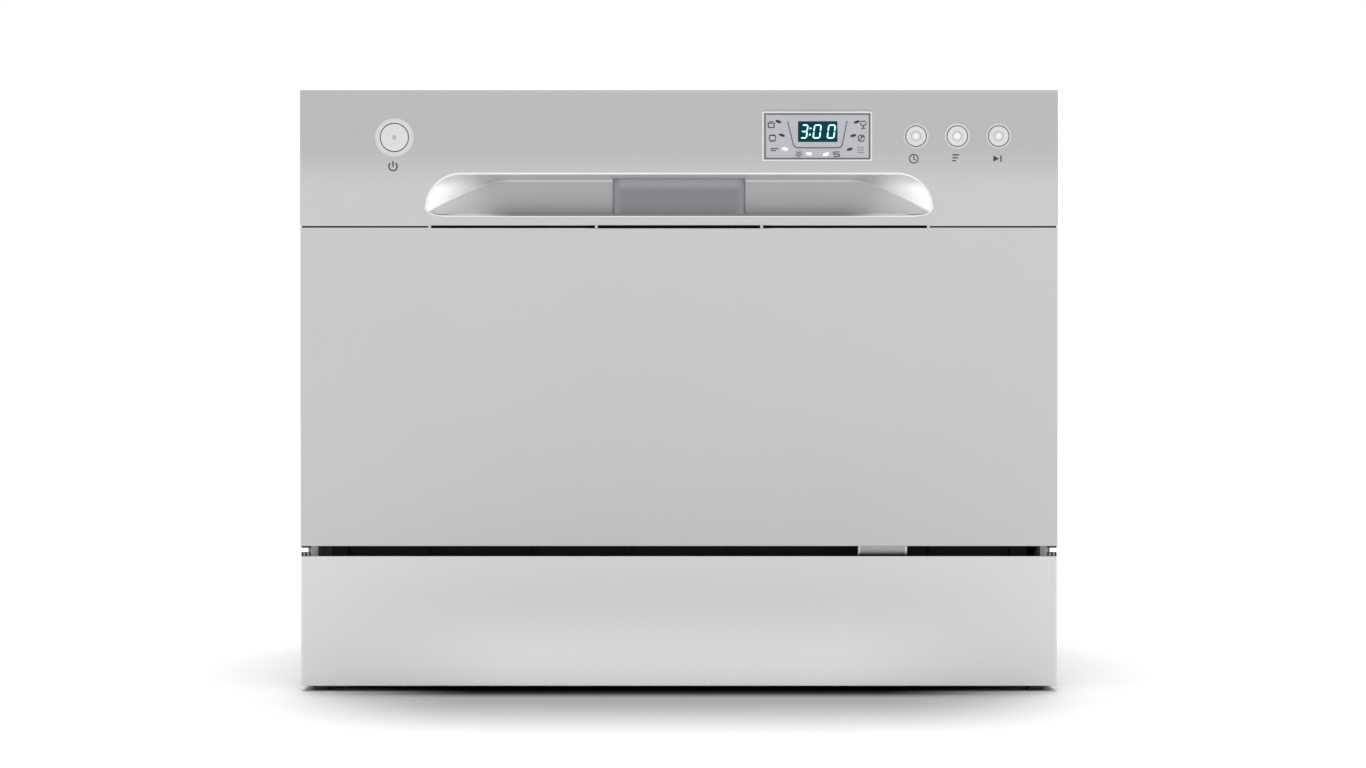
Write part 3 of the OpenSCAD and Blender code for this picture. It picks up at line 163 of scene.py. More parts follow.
class Graph:
    """The nodes of one finish. Every node comes from node()."""

    def __init__(self, name):
        self.material = bpy.data.materials.new(name)
        self.material.use_nodes = True
        self.tree = self.material.node_tree
        self.tree.nodes.clear()
        self.place = self.node("ShaderNodeTexCoord", output="Object")

    def node(self, kind, settings=None, sockets=None, output=0):
        """Adds a node: its settings first, then the values or links of its sockets."""
        made = self.tree.nodes.new(kind)
        for name, setting in (settings or {}).items():
            setattr(made, name, setting)
        for name, given in (sockets or {}).items():
            socket = made.inputs[name]
            if isinstance(given, Value):
                self.tree.links.new(given.socket, socket)
            elif socket.type == "RGBA" and len(given) == 3:
                socket.default_value = (*given, 1.0)
            else:
                socket.default_value = given
        return Value(self, made.outputs[output]) if len(made.outputs) else None

    def value(self, number):
        """A socket that holds a number."""
        return self.node("ShaderNodeMath", {"operation": "ADD"}, {0: number, 1: 0.0})

    def stretched(self, scale, turn=(0, 0, 0)):
        """Object coordinates, turned and stretched."""
        return self.node(
            "ShaderNodeMapping", {"vector_type": "TEXTURE"},
            {"Vector": self.place, "Rotation": turn, "Scale": tuple(1 / s for s in scale)})

    def axis(self, index):
        """One of the object's own coordinates."""
        return self.node("ShaderNodeSeparateXYZ", None, {0: self.place}, output=index)

    def noise(self, scale, detail=3.0, vector=None, rough=0.5):
        return self.node(
            "ShaderNodeTexNoise", None,
            {"Vector": vector or self.place, "Scale": scale, "Detail": detail, "Roughness": rough})

    def mix(self, first, second, factor):
        """Colour between two colours."""
        return self.node("ShaderNodeMix", {"data_type": "RGBA"}, {6: first, 7: second, 0: factor}, output=2)

    def soft_edge(self, radius):
        """Normal that rounds the sharp edges of a piece."""
        return self.node("ShaderNodeBevel", {"samples": 6}, {"Radius": radius})

    def bump(self, height, strength, distance, **normal):
        return self.node("ShaderNodeBump", None,
                         {"Height": height, "Strength": strength, "Distance": distance, **normal})

    def finish(self, **sockets):
        """The surface shader and the output. Socket names are written with underscores."""
        named = {name.replace("_", " "): given for name, given in sockets.items()}
        self.node("ShaderNodeOutputMaterial", None, {"Surface": self.node("ShaderNodeBsdfPrincipled", None, named)})
        return self.material


def shade(colour, share):
    """A colour made lighter or darker by a share."""
    return tuple(min(1.0, c * share) for c in colour)


def painted(name, colour, fall=None):
    """Metallic paint: fine flakes, a broad unevenness and a faint orange peel. fall paints shade by
    height: it gives two heights and the share of the colour that is left at the upper one."""
    g = Graph(name)
    flakes = g.noise(5200, 1.0)
    cloud = g.noise(9, 2.0)
    base = g.mix(shade(colour, 0.955), shade(colour, 1.045), flakes * 0.6 + cloud * 0.4)
    if fall:
        low, high, share = fall
        # painted shade: the colour falls to the given share between the two heights
        base = g.mix(base, shade(colour, share), g.axis(2).ramp(low, high))
    peel = g.bump(g.noise(620, 2.0), 0.05, 0.0002, Normal=g.soft_edge(0.0007))
    return g.finish(Base_Color=base, Metallic=0.25, Roughness=flakes * 0.12 + 0.36,
                    Normal=peel, Coat_Weight=0.18, Coat_Roughness=0.22)


def moulded(name, colour, rough=0.5, grain=1500, depth=0.25, **more):
    """Moulded plastic: fine spark-erosion grain and slight flow marks."""
    g = Graph(name)
    fine = g.noise(grain, 2.0)
    flow = g.noise(35, 3.0, g.stretched((1.0, 1.0, 0.25)))
    base = g.mix(shade(colour, 0.93), shade(colour, 1.07), flow)
    return g.finish(Base_Color=base, Roughness=fine * 0.14 + (rough - 0.07),
                    Normal=g.bump(fine, depth, 0.00008), **more)


def inked(name, colour, rough=0.5):
    """Printed ink or a smooth frame: almost no grain."""
    return moulded(name, colour, rough, 2400, 0.02)


def brushed(name, colour, along, rough=0.3):
    """Rolled stainless sheet: long fine streaks along one axis."""
    g = Graph(name)
    scale = [1.0, 1.0, 1.0]
    scale[along] = 0.012
    streak = g.noise(1400, 3.0, g.stretched(scale))
    cloud = g.noise(14, 3.0)
    base = g.mix(shade(colour, 0.9), shade(colour, 1.06), streak * 0.7 + cloud * 0.3)
    return g.finish(Base_Color=base, Metallic=1.0, Roughness=streak * 0.16 + (rough - 0.08),
                    Normal=g.bump(streak, 0.12, 0.00005))


def galvanised(name, colour):
    """Zinc-coated sheet: flat crystals that differ a little in shade."""
    g = Graph(name)
    cells = g.node("ShaderNodeTexVoronoi", None, {"Vector": g.place, "Scale": 230.0}, output="Color")
    grey = g.node("ShaderNodeSeparateXYZ", None, {0: cells})
    base = g.mix(shade(colour, 0.93), shade(colour, 1.05), grey)
    return g.finish(Base_Color=base, Metallic=0.85, Roughness=grey * 0.2 + 0.32,
                    Normal=g.bump(g.noise(300, 2.0), 0.05, 0.0001))


def felted(name, colour):
    """Bitumen felt: matted fibres."""
    g = Graph(name)
    fibre = g.noise(420, 6.0, g.stretched((1.0, 0.3, 1.0)), 0.7)
    base = g.mix(shade(colour, 0.6), shade(colour, 1.5), fibre)
    return g.finish(Base_Color=base, Roughness=0.96, Normal=g.bump(fibre, 0.8, 0.0006))


def circuit(name, colour):
    """Board with solder mask over square tracks."""
    g = Graph(name)
    tracks = g.node("ShaderNodeTexBrick", {"offset": 0.5},
                    {"Vector": g.stretched((1, 1, 1), (math.pi / 2, 0, 0)), "Scale": 260.0,
                     "Mortar Size": 0.08, "Color1": (0, 0, 0, 1), "Color2": (0.2, 0.2, 0.2, 1),
                     "Mortar": (1, 1, 1, 1)})
    mask = g.node("ShaderNodeSeparateXYZ", None, {0: tracks})
    base = g.mix(colour, shade(colour, 2.2), mask)
    return g.finish(Base_Color=base, Roughness=0.35, Normal=g.bump(mask, 0.3, 0.0001))


def shaded_paddle_paint(name, colour):
    """Satin plastic with painted shade at the foot of the paddle and painted light at its top and ends."""
    g = Graph(name)
    fine, height, across = g.noise(1500, 2.0), g.axis(2), abs(g.axis(0))
    # painted shade at the foot, painted light near the top and toward both ends
    base = g.mix(shade(colour, 0.74), colour, height.ramp(0.3462, 0.352))
    base = g.mix(base, shade(colour, 1.6), height.ramp(0.3645, 0.371))
    base = g.mix(base, shade(colour, 1.25), across.ramp(0.041, 0.048))
    return g.finish(Base_Color=base, Roughness=fine * 0.14 + 0.36, Normal=g.bump(fine, 0.15, 0.00008))


def kick_paint_lit_low(name, colour):
    """Paint of the kick panel with painted light: a share lighter low in the middle, where the dark floor gives
    back little light.
    """
    g = Graph(name)
    flakes, cloud = g.noise(5200, 1.0), g.noise(9, 2.0)
    base = g.mix(shade(colour, 0.97), shade(colour, 1.03), flakes * 0.6 + cloud * 0.4)
    # painted light: lighter low down in the middle of the panel
    low = (1 - g.axis(2).ramp(0.0, 0.075)) * (1 - abs(g.axis(0)).ramp(0.1, 0.28))
    base = g.mix(base, shade(colour, 1.55), low)
    return g.finish(Base_Color=base, Metallic=0.2, Roughness=flakes * 0.12 + 0.38,
                    Normal=g.soft_edge(0.0009), Coat_Weight=0.15, Coat_Roughness=0.25)


# Plastics of the record's slots: colour, roughness and, where they differ, grain and its depth
PLASTICS = {
    "seal_rubber": ((0.05, 0.05, 0.053), 0.62, 900),
    "sump_plastic": ((0.33, 0.34, 0.35),),
    "motor_plastic": ((0.03, 0.032, 0.035), 0.45),
    "softener_plastic": ((0.66, 0.67, 0.66), 0.45),
    "drain_plastic": ((0.2, 0.2, 0.21),),
    "gland_plastic": ((0.025, 0.025, 0.027),),
    "foot_plastic": ((0.045, 0.046, 0.048), 0.55),
    "dispenser_plastic": ((0.5, 0.51, 0.53), 0.4),
    "window_plastic": ((0.43, 0.435, 0.465), 0.25, 900, 0.02),
    "button_plastic": ((0.62, 0.625, 0.63), 0.34, 2000, 0.08),
    "rim_plastic": ((0.58, 0.585, 0.59), 0.3, 2000, 0.08),
    "latch_plastic": ((0.02, 0.02, 0.022),),
    # pale plastic for painted highlights on beads, folds, rolled ends and buttons
    "highlight_plastic": ((0.8, 0.805, 0.81), 0.3, 2000, 0.05),
    "cap_blue": ((0.02, 0.13, 0.33), 0.4),
    "arm_plastic": ((0.4, 0.42, 0.44), 0.45),
    "rack_coating": ((0.5, 0.52, 0.54), 0.36, 1200, 0.2),
    "clip_plastic": ((0.16, 0.17, 0.18),),
    "roller_plastic": ((0.55, 0.56, 0.57), 0.4),
    "basket_plastic": ((0.2, 0.21, 0.23), 0.45),
}


def finishes():
    """Finish of each material slot of the record."""
    look = bpy.context.scene.dishwasher_finish
    silver, steel = tuple(look.silver), (0.62, 0.63, 0.64)
    return {
        **{slot: moulded(slot, *values) for slot, values in PLASTICS.items()},
        "white_steel": painted("silver_paint", silver),
        # the fascia's paint darkens toward its top: painted shade
        "fascia_plastic": painted("fascia_paint_shaded_top", silver, fall=(0.362, 0.4, 0.82)),
        "black_plastic": moulded("black_moulding", tuple(look.black), 0.55),
        "display_glass": moulded("display_glass", (0.0, 0.036, 0.055), 0.3, 900, 0.0, Specular_IOR_Level=0.1),
        "paddle_plastic": shaded_paddle_paint("paddle_plastic", (0.36, 0.35, 0.375)),
        "galvanised_steel": galvanised("zinc", (0.36, 0.368, 0.38)),
        "hardware_steel": galvanised("hardware_steel", (0.42, 0.42, 0.42)),
        "stainless_sheet": brushed("stainless_sheet", steel, 1, 0.26),
        "heater_steel": brushed("heater_steel", (0.5, 0.5, 0.5), 2, 0.35),
        "rail_steel": brushed("rail_steel", steel, 1),
        "felt": felted("felt", (0.05, 0.045, 0.04)),
        "board_green": circuit("board_green", (0.03, 0.17, 0.06)),
    }


FINISH = {}


def finish_of(slot):
    """The finish of a slot of the record, made once."""
    if not FINISH:
        FINISH.update(finishes())
    return FINISH[slot]


# ---- Surfaces ----


def points_at(x, y, z):
    """One array of points from three numbers or arrays, stretched to the same shape."""
    return np.stack(np.broadcast_arrays(x, y, z), -1).astype(float)


def full_turn(steps):
    """Equal steps round a circle, without its last angle."""
    return np.linspace(0, 2 * np.pi, steps, endpoint=False)


class Shape:
    """Grids of points that become one mesh."""

    def __init__(self):
        self.points, self.faces, self.count = [], [], 0

    def grid(self, points, closed_rows=False, closed_columns=False, caps=False, keep=None):
        """Quads between neighbours of a rows x columns x 3 array. caps closes the first
        and last row with one face each; keep drops the quads where it is false."""
        rows, columns = points.shape[:2]
        i = np.arange(rows if closed_rows else rows - 1)[:, None]
        j = np.arange(columns if closed_columns else columns - 1)[None, :]
        down, right = (i + 1) % rows, (j + 1) % columns
        quads = np.stack([i * columns + j, i * columns + right,
                          down * columns + right, down * columns + j], -1)
        quads = (quads[keep] if keep is not None else quads.reshape(-1, 4)) + self.count
        self.faces += quads.tolist()
        if caps:
            for row in (0, rows - 1):
                self.faces.append((np.arange(columns) + row * columns + self.count).tolist())
        self.points.append(points.reshape(-1, 3))
        self.count += rows * columns
        return self

    def piece(self, name, body, slot, material=None, smooth=40, open_sheet=False):
        """Makes the object, merges its poles, turns its faces outwards and lets it ride."""
        mesh = bpy.data.meshes.new(name)
        mesh.from_pydata(np.concatenate(self.points).tolist(), [], self.faces)
        solid = bmesh.new()
        solid.from_mesh(mesh)
        bmesh.ops.remove_doubles(solid, verts=solid.verts, dist=1e-6)
        bmesh.ops.dissolve_degenerate(solid, edges=solid.edges, dist=1e-7)
        if not open_sheet:
            bmesh.ops.recalc_face_normals(solid, faces=solid.faces)
        solid.to_mesh(mesh)
        solid.free()
        mesh.shade_smooth()
        mesh.set_sharp_from_angle(angle=math.radians(smooth))
        made = bpy.data.objects.new(name, mesh)
        bpy.context.scene.collection.objects.link(made)
        mesh.materials.append(material or finish_of(slot))
        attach(made, body)
        return made


def lathe(shape, profile, x, z, y=FACE_Y, around=64, closed=False):
    """Turns a profile round an axis along Y: each (radius, ahead) becomes a ring of that
    radius, so far in front of y."""
    turn = full_turn(around)
    radius, ahead = np.array(profile).T[:, :, None]
    points = points_at(x + radius * np.cos(turn), y - ahead, z + radius * np.sin(turn))
    return shape.grid(points, closed_rows=closed, closed_columns=True)


def upright(shape, profile, x, y, around=40, closed=False):
    """Turns a profile round an upright axis: each (radius, height) becomes a level ring."""
    turn = full_turn(around)
    radius, height = np.array(profile, float).T[:, :, None]
    points = points_at(x + radius * np.cos(turn), y + radius * np.sin(turn), height)
    return shape.grid(points, closed_rows=closed, closed_columns=True)


def framed(shape, outline, section, y):
    """Carries a section (outward, ahead) round a closed outline in the plane at y: each
    point moves out along the outline's normal and forward along -Y."""
    way = np.roll(outline, -1, 0) - np.roll(outline, 1, 0)
    way /= np.linalg.norm(way, axis=1)[:, None]
    out = np.stack([way[:, 1], -way[:, 0]], -1)
    flat = outline[:, None] + out[:, None] * section[None, :, :1]
    points = points_at(flat[..., 0], y - section[:, 1], flat[..., 1])
    return shape.grid(points, closed_rows=True, closed_columns=True)


def plate(shape, outline, y0, y1, edge=0.0):
    """A flat plate: the outline (x, z) at y0, its edge eased by a small chamfer, and at y1."""
    outline = np.array(outline)
    ahead, behind = np.roll(outline, -1, 0), np.roll(outline, 1, 0)
    way = ahead - behind
    way /= np.linalg.norm(way, axis=1)[:, None] + 1e-12
    inward = np.stack([-way[:, 1], way[:, 0]], -1)
    if np.sum(outline[:, 0] * np.roll(outline[:, 1], -1) - np.roll(outline[:, 0], -1) * outline[:, 1]) < 0:
        inward = -inward
    rings = [(y1, 0.0), (y0 + edge, 0.0), (y0, edge)] if edge else [(y1, 0.0), (y0, 0.0)]
    points = np.stack([np.insert(outline + inward * inset, 1, y, axis=1) for y, inset in rings])
    return shape.grid(points, closed_columns=True, caps=True)


def rounded_box(x0, z0, x1, z1, r, steps=6):
    """Outline of a rectangle with quarter-circle corners, counter-clockwise."""
    turn = np.linspace(0, np.pi / 2, steps + 1)
    corners = [(x1 - r, z1 - r, 0), (x0 + r, z1 - r, 1), (x0 + r, z0 + r, 2), (x1 - r, z0 + r, 3)]
    return np.concatenate([
        np.stack([x + r * np.cos(turn + k * np.pi / 2), z + r * np.sin(turn + k * np.pi / 2)], -1)
        for x, z, k in corners])


def ring_band(x, z, r, width, start=0.0, end=360.0, steps=32):
    """Outline of a part of a ring: its outer edge there, its inner edge back."""
    turn = np.radians(np.linspace(start, end, steps))
    out, back = r + width / 2, r - width / 2
    arc = np.stack([np.cos(turn), np.sin(turn)], -1)
    return np.concatenate([arc * out, arc[::-1] * back]) + (x, z)


def stroke(p, q, width, pointed=False):
    """Outline of a straight stroke from p to q. A pointed one has the ends of a lit segment."""
    p, q = np.array(p, float), np.array(q, float)
    way = (q - p) / np.linalg.norm(q - p) * width / 2
    side = np.array([-way[1], way[0]])
    if pointed:
        return np.array([p, p + way - side, q - way - side, q, q - way + side, p + way + side])
    return np.array([p - side, q - side, q + side, p + side])


def swept(shape, path, radius, around=10, closed=False, caps=True):
    """A round section carried along a path: at each point two directions square to the
    path span a circle. The first direction is turned as little as possible on the way."""
    path = np.asarray(path, float)
    way = np.roll(path, -1, 0) - np.roll(path, 1, 0)
    if not closed:
        way[0], way[-1] = path[1] - path[0], path[-1] - path[-2]
    way /= np.linalg.norm(way, axis=1)[:, None]
    first = np.zeros_like(way)
    side = np.cross(way[0], (0.31, 0.2, 0.93))
    for k, direction in enumerate(way):
        side = side - direction * side.dot(direction)
        side /= np.linalg.norm(side)
        first[k] = side
    second = np.cross(way, first)
    turn = full_turn(around)
    radius = np.broadcast_to(radius, len(path))[:, None, None]
    points = path[:, None] + radius * (first[:, None] * np.cos(turn)[:, None]
                                       + second[:, None] * np.sin(turn)[:, None])
    return shape.grid(points, closed_rows=closed, closed_columns=True, caps=caps and not closed)


def face_marks(name, slot, material, outlines, thick=0.08, front=0.06):
    """Thin raised prints on the door's face: each outline, in millimetres, is a plate."""
    shape = Shape()
    for outline in outlines:
        plate(shape, np.array(outline) * MM, FACE_Y - front * MM, FACE_Y - (front - thick) * MM)
    return shape.piece(name, "door", slot, material)


# ---- Operators ----


class Maker(bpy.types.Operator):
    """Base of the makers, which all work on the frame"""

    bl_options = {"REGISTER"}

    def execute(self, context):
        self.make(context.scene)
        return {"FINISHED"}


class DISHWASHER_OT_paint_frame(Maker):
    """Give every CAD node the finish of its slot"""

    bl_idname = "dishwasher.paint_frame"
    bl_label = "Paint the frame"

    def make(self, scene):
        slots = {p["node"]: p["material_slot"] for p in frame["record"]["subparts"]}
        look = scene.dishwasher_finish
        kick = kick_paint_lit_low("kick_paint_lit_low", tuple(look.kick))
        # painted shade: the casing's paint is the silver made darker, so that its strongly lit top and sides read
        # as silver
        casing = painted("casing_paint_shaded", shade(tuple(look.silver), 0.68))
        for name, node in frame["nodes"].items():
            own = {"kick_panel": kick, "outer_casing": casing}
            finish = own.get(name) or finish_of(slots[name])
            node.data.materials.clear()
            node.data.materials.append(finish)


class DISHWASHER_OT_form_recess(Maker):
    """Hand recess: one folded sheet and the bead round its opening, coloured with painted shade and painted
    highlights
    """

    bl_idname = "dishwasher.form_recess"
    bl_label = "Form the hand recess"
    RUN = 0.168  # half length of the straight lower run of the bead
    DROP, RISE = 0.0034, 0.0013  # crease under the upper edge in the middle, over the lower at the tips
    BEND = 1.25  # how late the crease falls toward the tips
    INSET = 0.0004  # the folded sheet inside the edge of the opening

    def make(self, scene):
        size = scene.dishwasher_recess
        half, corner, low, high = size.half, size.corner, size.low, size.high
        # stations along x, closer together toward both ends
        t = np.linspace(-1, 1, 201)
        x = half * np.sin(t * np.pi / 2) * 0.35 + half * t * 0.65
        hole = PADDLE[1].x + 0.0003
        x = np.sort(np.append(x[np.abs(np.abs(x) - hole) > 0.0008], (-hole, hole)))
        side = np.abs(x)
        # opening: straight edges that end in quarter circles
        over = np.clip(side - (half - corner), 0, corner)
        top = high - corner + np.sqrt(corner ** 2 - over ** 2) - self.INSET
        small = 0.006
        under = np.clip(side - (half - small), 0, small)
        floor = low + small - np.sqrt(small ** 2 - under ** 2) + self.INSET
        # the back wall comes forward to both tips in a soft bend
        far = (side - size.crease_half) / (half - size.crease_half)
        soft = np.log1p(np.exp(far * 14)) / 14
        soft = soft / soft.max()
        deep = size.depth * (1 - soft)
        bend = soft ** self.BEND
        crease = (high - self.DROP) * (1 - bend) + (low + self.RISE) * bend
        crease = np.clip(crease, floor, top)
        # sections: ceiling, a small fold, the wall, a hollow corner and the floor
        rows = []
        for s in np.linspace(0, 1, 7):
            rows.append((deep * s, top + (crease - top) * s))
        fold = np.minimum(0.004, (crease - floor) * 0.45)
        reach = np.minimum(fold, deep)
        for s in np.linspace(0.04, 1, 9):
            rows.append((deep, crease + (floor + fold - crease) * s))
        for a in np.linspace(0.25, 1, 5) * np.pi / 2:
            rows.append((deep - reach * (1 - np.cos(a)), floor + fold * (1 - np.sin(a))))
        for s in np.linspace(0.2, 1, 4):
            rows.append(((deep - reach) * (1 - s), floor))
        points = np.stack([points_at(x, FACE_Y + d + 0.0001, z) for d, z in rows])
        # room for the paddle: the ceiling's end, the wall and the corner are left open behind it
        keep = np.ones((len(rows) - 1, len(x) - 1), bool)
        inner = (side[:-1] < hole + 1e-6) & (side[1:] < hole + 1e-6)
        keep[5:18, inner] = False
        shape = Shape().grid(points, keep=keep)
        sheet = shape.piece("recess_sheet", "door", "fascia_plastic", self.shaded_enamel(size),
                            smooth=24, open_sheet=True)
        wall = sheet.modifiers.new("wall", "SOLIDIFY")
        wall.thickness, wall.offset = 0.0003, -1.0
        # bead round the opening, thinner along its lower run; its pale colour is a painted highlight
        edge = np.concatenate([
            np.stack([x, top], -1)[np.abs(x) <= half],
            np.stack([x, floor], -1)[::-1]])
        edge = edge[np.linalg.norm(np.diff(edge, axis=0, append=edge[:1]), axis=1) > 1e-5]
        path = np.insert(edge, 1, FACE_Y + 0.0003, axis=1)
        # the lower run lies below the edge, with a dark strip of painted shade between
        inward = 1 - np.clip((np.abs(path[:, 0]) - self.RUN) / 0.016, 0, 1)
        lower = path[:, 2] < low + 0.0012
        path[:, 2] += np.where(lower, -0.0017 * inward * inward * (3 - 2 * inward), -0.0004)
        bead = swept(Shape(), path, size.lip * np.where(path[:, 2] > low + 0.003, 0.95, 0.5), 10, closed=True)
        bead.piece("recess_bead", "door", "fascia_plastic", finish_of("highlight_plastic"), smooth=60)
        # painted shade: a dark strip under the opening's lower edge, fading out toward both ends
        shade_strip = Shape()
        run = np.linspace(-1, 1, 81) * self.RUN
        tall = 0.0008 * np.clip((self.RUN - np.abs(run)) / 0.03, 0.02, 1) ** 0.5
        plate(shade_strip, np.concatenate([np.stack([run, low + 0.0006 - 2 * tall], -1),
                                    np.stack([run, low + 0.0006 + 0 * run], -1)[::-1]]),
              FACE_Y - 0.00008, FACE_Y + 0.0002)
        shade_strip.piece("recess_shade_strip", "door", "fascia_plastic", self.step_shade())
        # painted highlights: pale folds where the end faces meet the back wall
        fold_highlights = Shape()
        for ends in (x < -0.127, x > 0.127):
            line = points_at(x, FACE_Y + deep - 0.0001, crease)[ends]
            swept(fold_highlights, line, 0.0008 * np.clip((np.abs(line[:, 0]) - 0.122) / 0.022, 0.2, 1), 10)
        fold_highlights.piece("recess_fold_highlights", "door", "fascia_plastic", finish_of("highlight_plastic"), smooth=60)

    def step_shade(self):
        """Painted shade of the step: dark plastic that fades to the fascia's tone at both ends."""
        g = Graph("recess_step_shade")
        base = g.mix((0.155, 0.155, 0.157), (0.48, 0.483, 0.487), abs(g.axis(0)).ramp(0.118, 0.152))
        fine = g.noise(1500, 2.0)
        return g.finish(Base_Color=base, Roughness=fine * 0.1 + 0.5, Normal=g.bump(fine, 0.1, 0.00005))

    def shaded_enamel(self, size):
        """Satin finish of the recess with painted light: painted shade low down in the middle, paler bands under
        the upper edge and toward the ends, and painted highlights on the end faces.
        """
        g = Graph("recess_painted_light")
        across, height = abs(g.axis(0)), g.axis(2)
        silver = tuple(bpy.context.scene.dishwasher_finish.silver)
        # painted shade: darker low down on the wall
        base = g.mix(shade(silver, 0.46), silver, height.ramp(size.low - 0.002, size.low + 0.0125))
        # painted light: paler bands up the wall and under the upper edge
        for share, start, end in ((1.13, size.low + 0.011, size.low + 0.023),
                                  (1.62, size.high - 0.0058, size.high - 0.0046),
                                  (1.5, size.high - 0.0032, size.high - 0.0024)):
            base = g.mix(base, shade(silver, share), height.ramp(start, end))
        # painted light: paler toward both ends
        base = g.mix(base, shade(silver, 1.12), across.ramp(0.12, 0.15))
        # the end faces lie above the line of the crease
        far = ((across - size.crease_half) / (size.half - size.crease_half)).maths("MAXIMUM", 0.0)
        fall = size.high - self.DROP - self.RISE - size.low
        line = (size.high - self.DROP) - far.maths("POWER", self.BEND) * fall
        highlight_mask = (height - line).ramp(-0.0002, 0.0006) * across.ramp(0.127, 0.14)
        # painted highlight on the end faces, fading to painted shade toward their top, darkest at the tips
        end_shade = g.mix((0.6, 0.6, 0.6), (0.25, 0.25, 0.25), across.ramp(0.160, 0.182))
        end_highlight = g.mix((0.95, 0.95, 0.95), end_shade, height.ramp(size.high - 0.0125, size.high - 0.0018))
        base = g.mix(base, end_highlight, highlight_mask)
        fine = g.noise(1500, 2.0)
        return g.finish(Base_Color=base, Roughness=fine * 0.12 + 0.34,
                        Normal=g.bump(fine, 0.06, 0.00005), Metallic=0.1)


class DISHWASHER_OT_fit_buttons(Maker):
    """Turned button caps with stems, and the rims that they sit in"""

    bl_idname = "dishwasher.fit_buttons"
    bl_label = "Fit the buttons"
    # In millimetres, from the button's axis and ahead of the door's face: profile of the cap,
    # the ring on it, the dot in its middle, and the width and gap of the rim. The power ring and the
    # small dots are pale painted highlights; the small ring is painted shade in the cap's groove
    POWER = {
        "face": [(0, 0.34), (1.0, 0.36), (1.5, 0.3), (1.75, 0.42), (2.4, 0.5), (2.9, 0.78),
                 (3.3, 0.92), (3.7, 0.9), (4.0, 0.62), (4.3, 0.42), (5.5, 0.44), (7.2, 0.52),
                 (8.5, 0.68), (9.1, 0.84), (9.5, 0.86), (9.8, 0.7)],
        "ring": (3.1, 0.85, "highlight_plastic"),
        "dot": ([(0, 0.44), (1.5, 0.42), (1.75, 0.36), (1.75, 0.2), (0, 0.2)], "window_plastic"),
        "rim": (3.5, 0.5)}
    SMALL = {
        "face": [(0, 0.5), (1.2, 0.48), (2.2, 0.4), (3.1, 0.3), (3.5, 0.34), (3.8, 0.52),
                 (4.2, 0.62), (4.7, 0.6), (5.4, 0.56), (6.0, 0.7), (6.4, 0.84), (6.8, 0.82),
                 (7.05, 0.6)],
        "ring": (3.55, 0.38, "window_plastic"),
        "dot": ([(0, 0.62), (1.3, 0.58), (1.9, 0.45), (2.0, 0.3), (0, 0.3)], "highlight_plastic"),
        "rim": (1.65, 0.45)}

    def make(self, scene):
        rims = Shape()
        for node in ("power_button", "delay_button", "program_button", "start_button"):
            size = self.POWER if node == "power_button" else self.SMALL
            low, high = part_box(node)
            at, r, stem = middle(node), (high.x - low.x) / 2 / MM, (FACE_Y - high.y) / MM
            cap = self.turned(size["face"] + [(r, 0.35), (r, -2.4), (r - 0.2, -2.6), (2.5, -2.6),
                                              (2.5, stem), (0, stem)], at, 72)
            made = cap.piece(node + "_cap", node, "button_plastic", smooth=50)
            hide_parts(node)
            # the ring and the dot: painted highlight or painted shade, as listed above
            crown, ahead, finish = size["ring"]
            turn = full_turn(48)
            path = points_at(at.x + crown * MM * np.cos(turn), FACE_Y - ahead * MM,
                             at.z + crown * MM * np.sin(turn))
            ring = swept(Shape(), path, 0.0003, 8, closed=True)
            ring.piece(node + "_ring", node, "button_plastic", finish_of(finish), smooth=60)
            profile, finish = size["dot"]
            dot = self.turned(profile, at, 32)
            dot.piece(node + "_dot", node, "button_plastic", finish_of(finish), smooth=60)
            width, gap = size["rim"]
            a, b = r + gap, r + gap + width
            wave = [(a, 0.15), (a + 0.12, 0.6), (a + 0.4, 0.92), (a + 0.8, 1.0), (a + width * 0.6, 0.82),
                    (b - 0.5, 0.34), (b - 0.12, 0.1), (b, 0.0), (b, -0.04), (a + 0.8, -0.04),
                    (a + 0.8, -3.9), (a, -3.9)]
            lathe(rims, np.array(wave) * MM, at.x, at.z, around=80, closed=True)
        made = rims.piece("turned_rims", "door", "rim_plastic", smooth=50)
        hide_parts("button_rims")

    def turned(self, profile, at, around):
        """A profile in millimetres, turned about the button's axis."""
        return lathe(Shape(), np.array(profile) * MM, at.x, at.z, around=around)


class DISHWASHER_OT_print_marks(Maker):
    """Printed symbols under the buttons"""

    bl_idname = "dishwasher.print_marks"
    bl_label = "Print the symbols"

    def make(self, scene):
        ink = tuple(scene.dishwasher_finish.print_ink)
        power = [ring_band(-207.6, 381.0, 3.0, 1.1, 128, 412, 40),
                 stroke((-207.6, 380.6), (-207.6, 384.9), 1.1)]
        face_marks("power_mark", "fascia_plastic", inked("ink", ink), power)
        clock = [ring_band(170.4, 386.6, 3.1, 0.75, 30, 388, 40),
                 stroke((170.4, 386.5), (170.4, 388.9), 0.7), stroke((170.2, 386.5), (171.8, 385.7), 0.7)]
        bars = [stroke((198.4, 389.4 - 2.1 * i), (203.4 - 1.2 * i, 389.4 - 2.1 * i), 0.9) for i in range(3)]
        play = [np.array([(228.2, 384.4), (232.2, 386.65), (228.2, 388.9)]),
                stroke((233.7, 384.4), (233.7, 388.9), 0.95)]
        face_marks("button_marks", "fascia_plastic", inked("dark_ink", shade(ink, 0.4)), clock + bars + play)


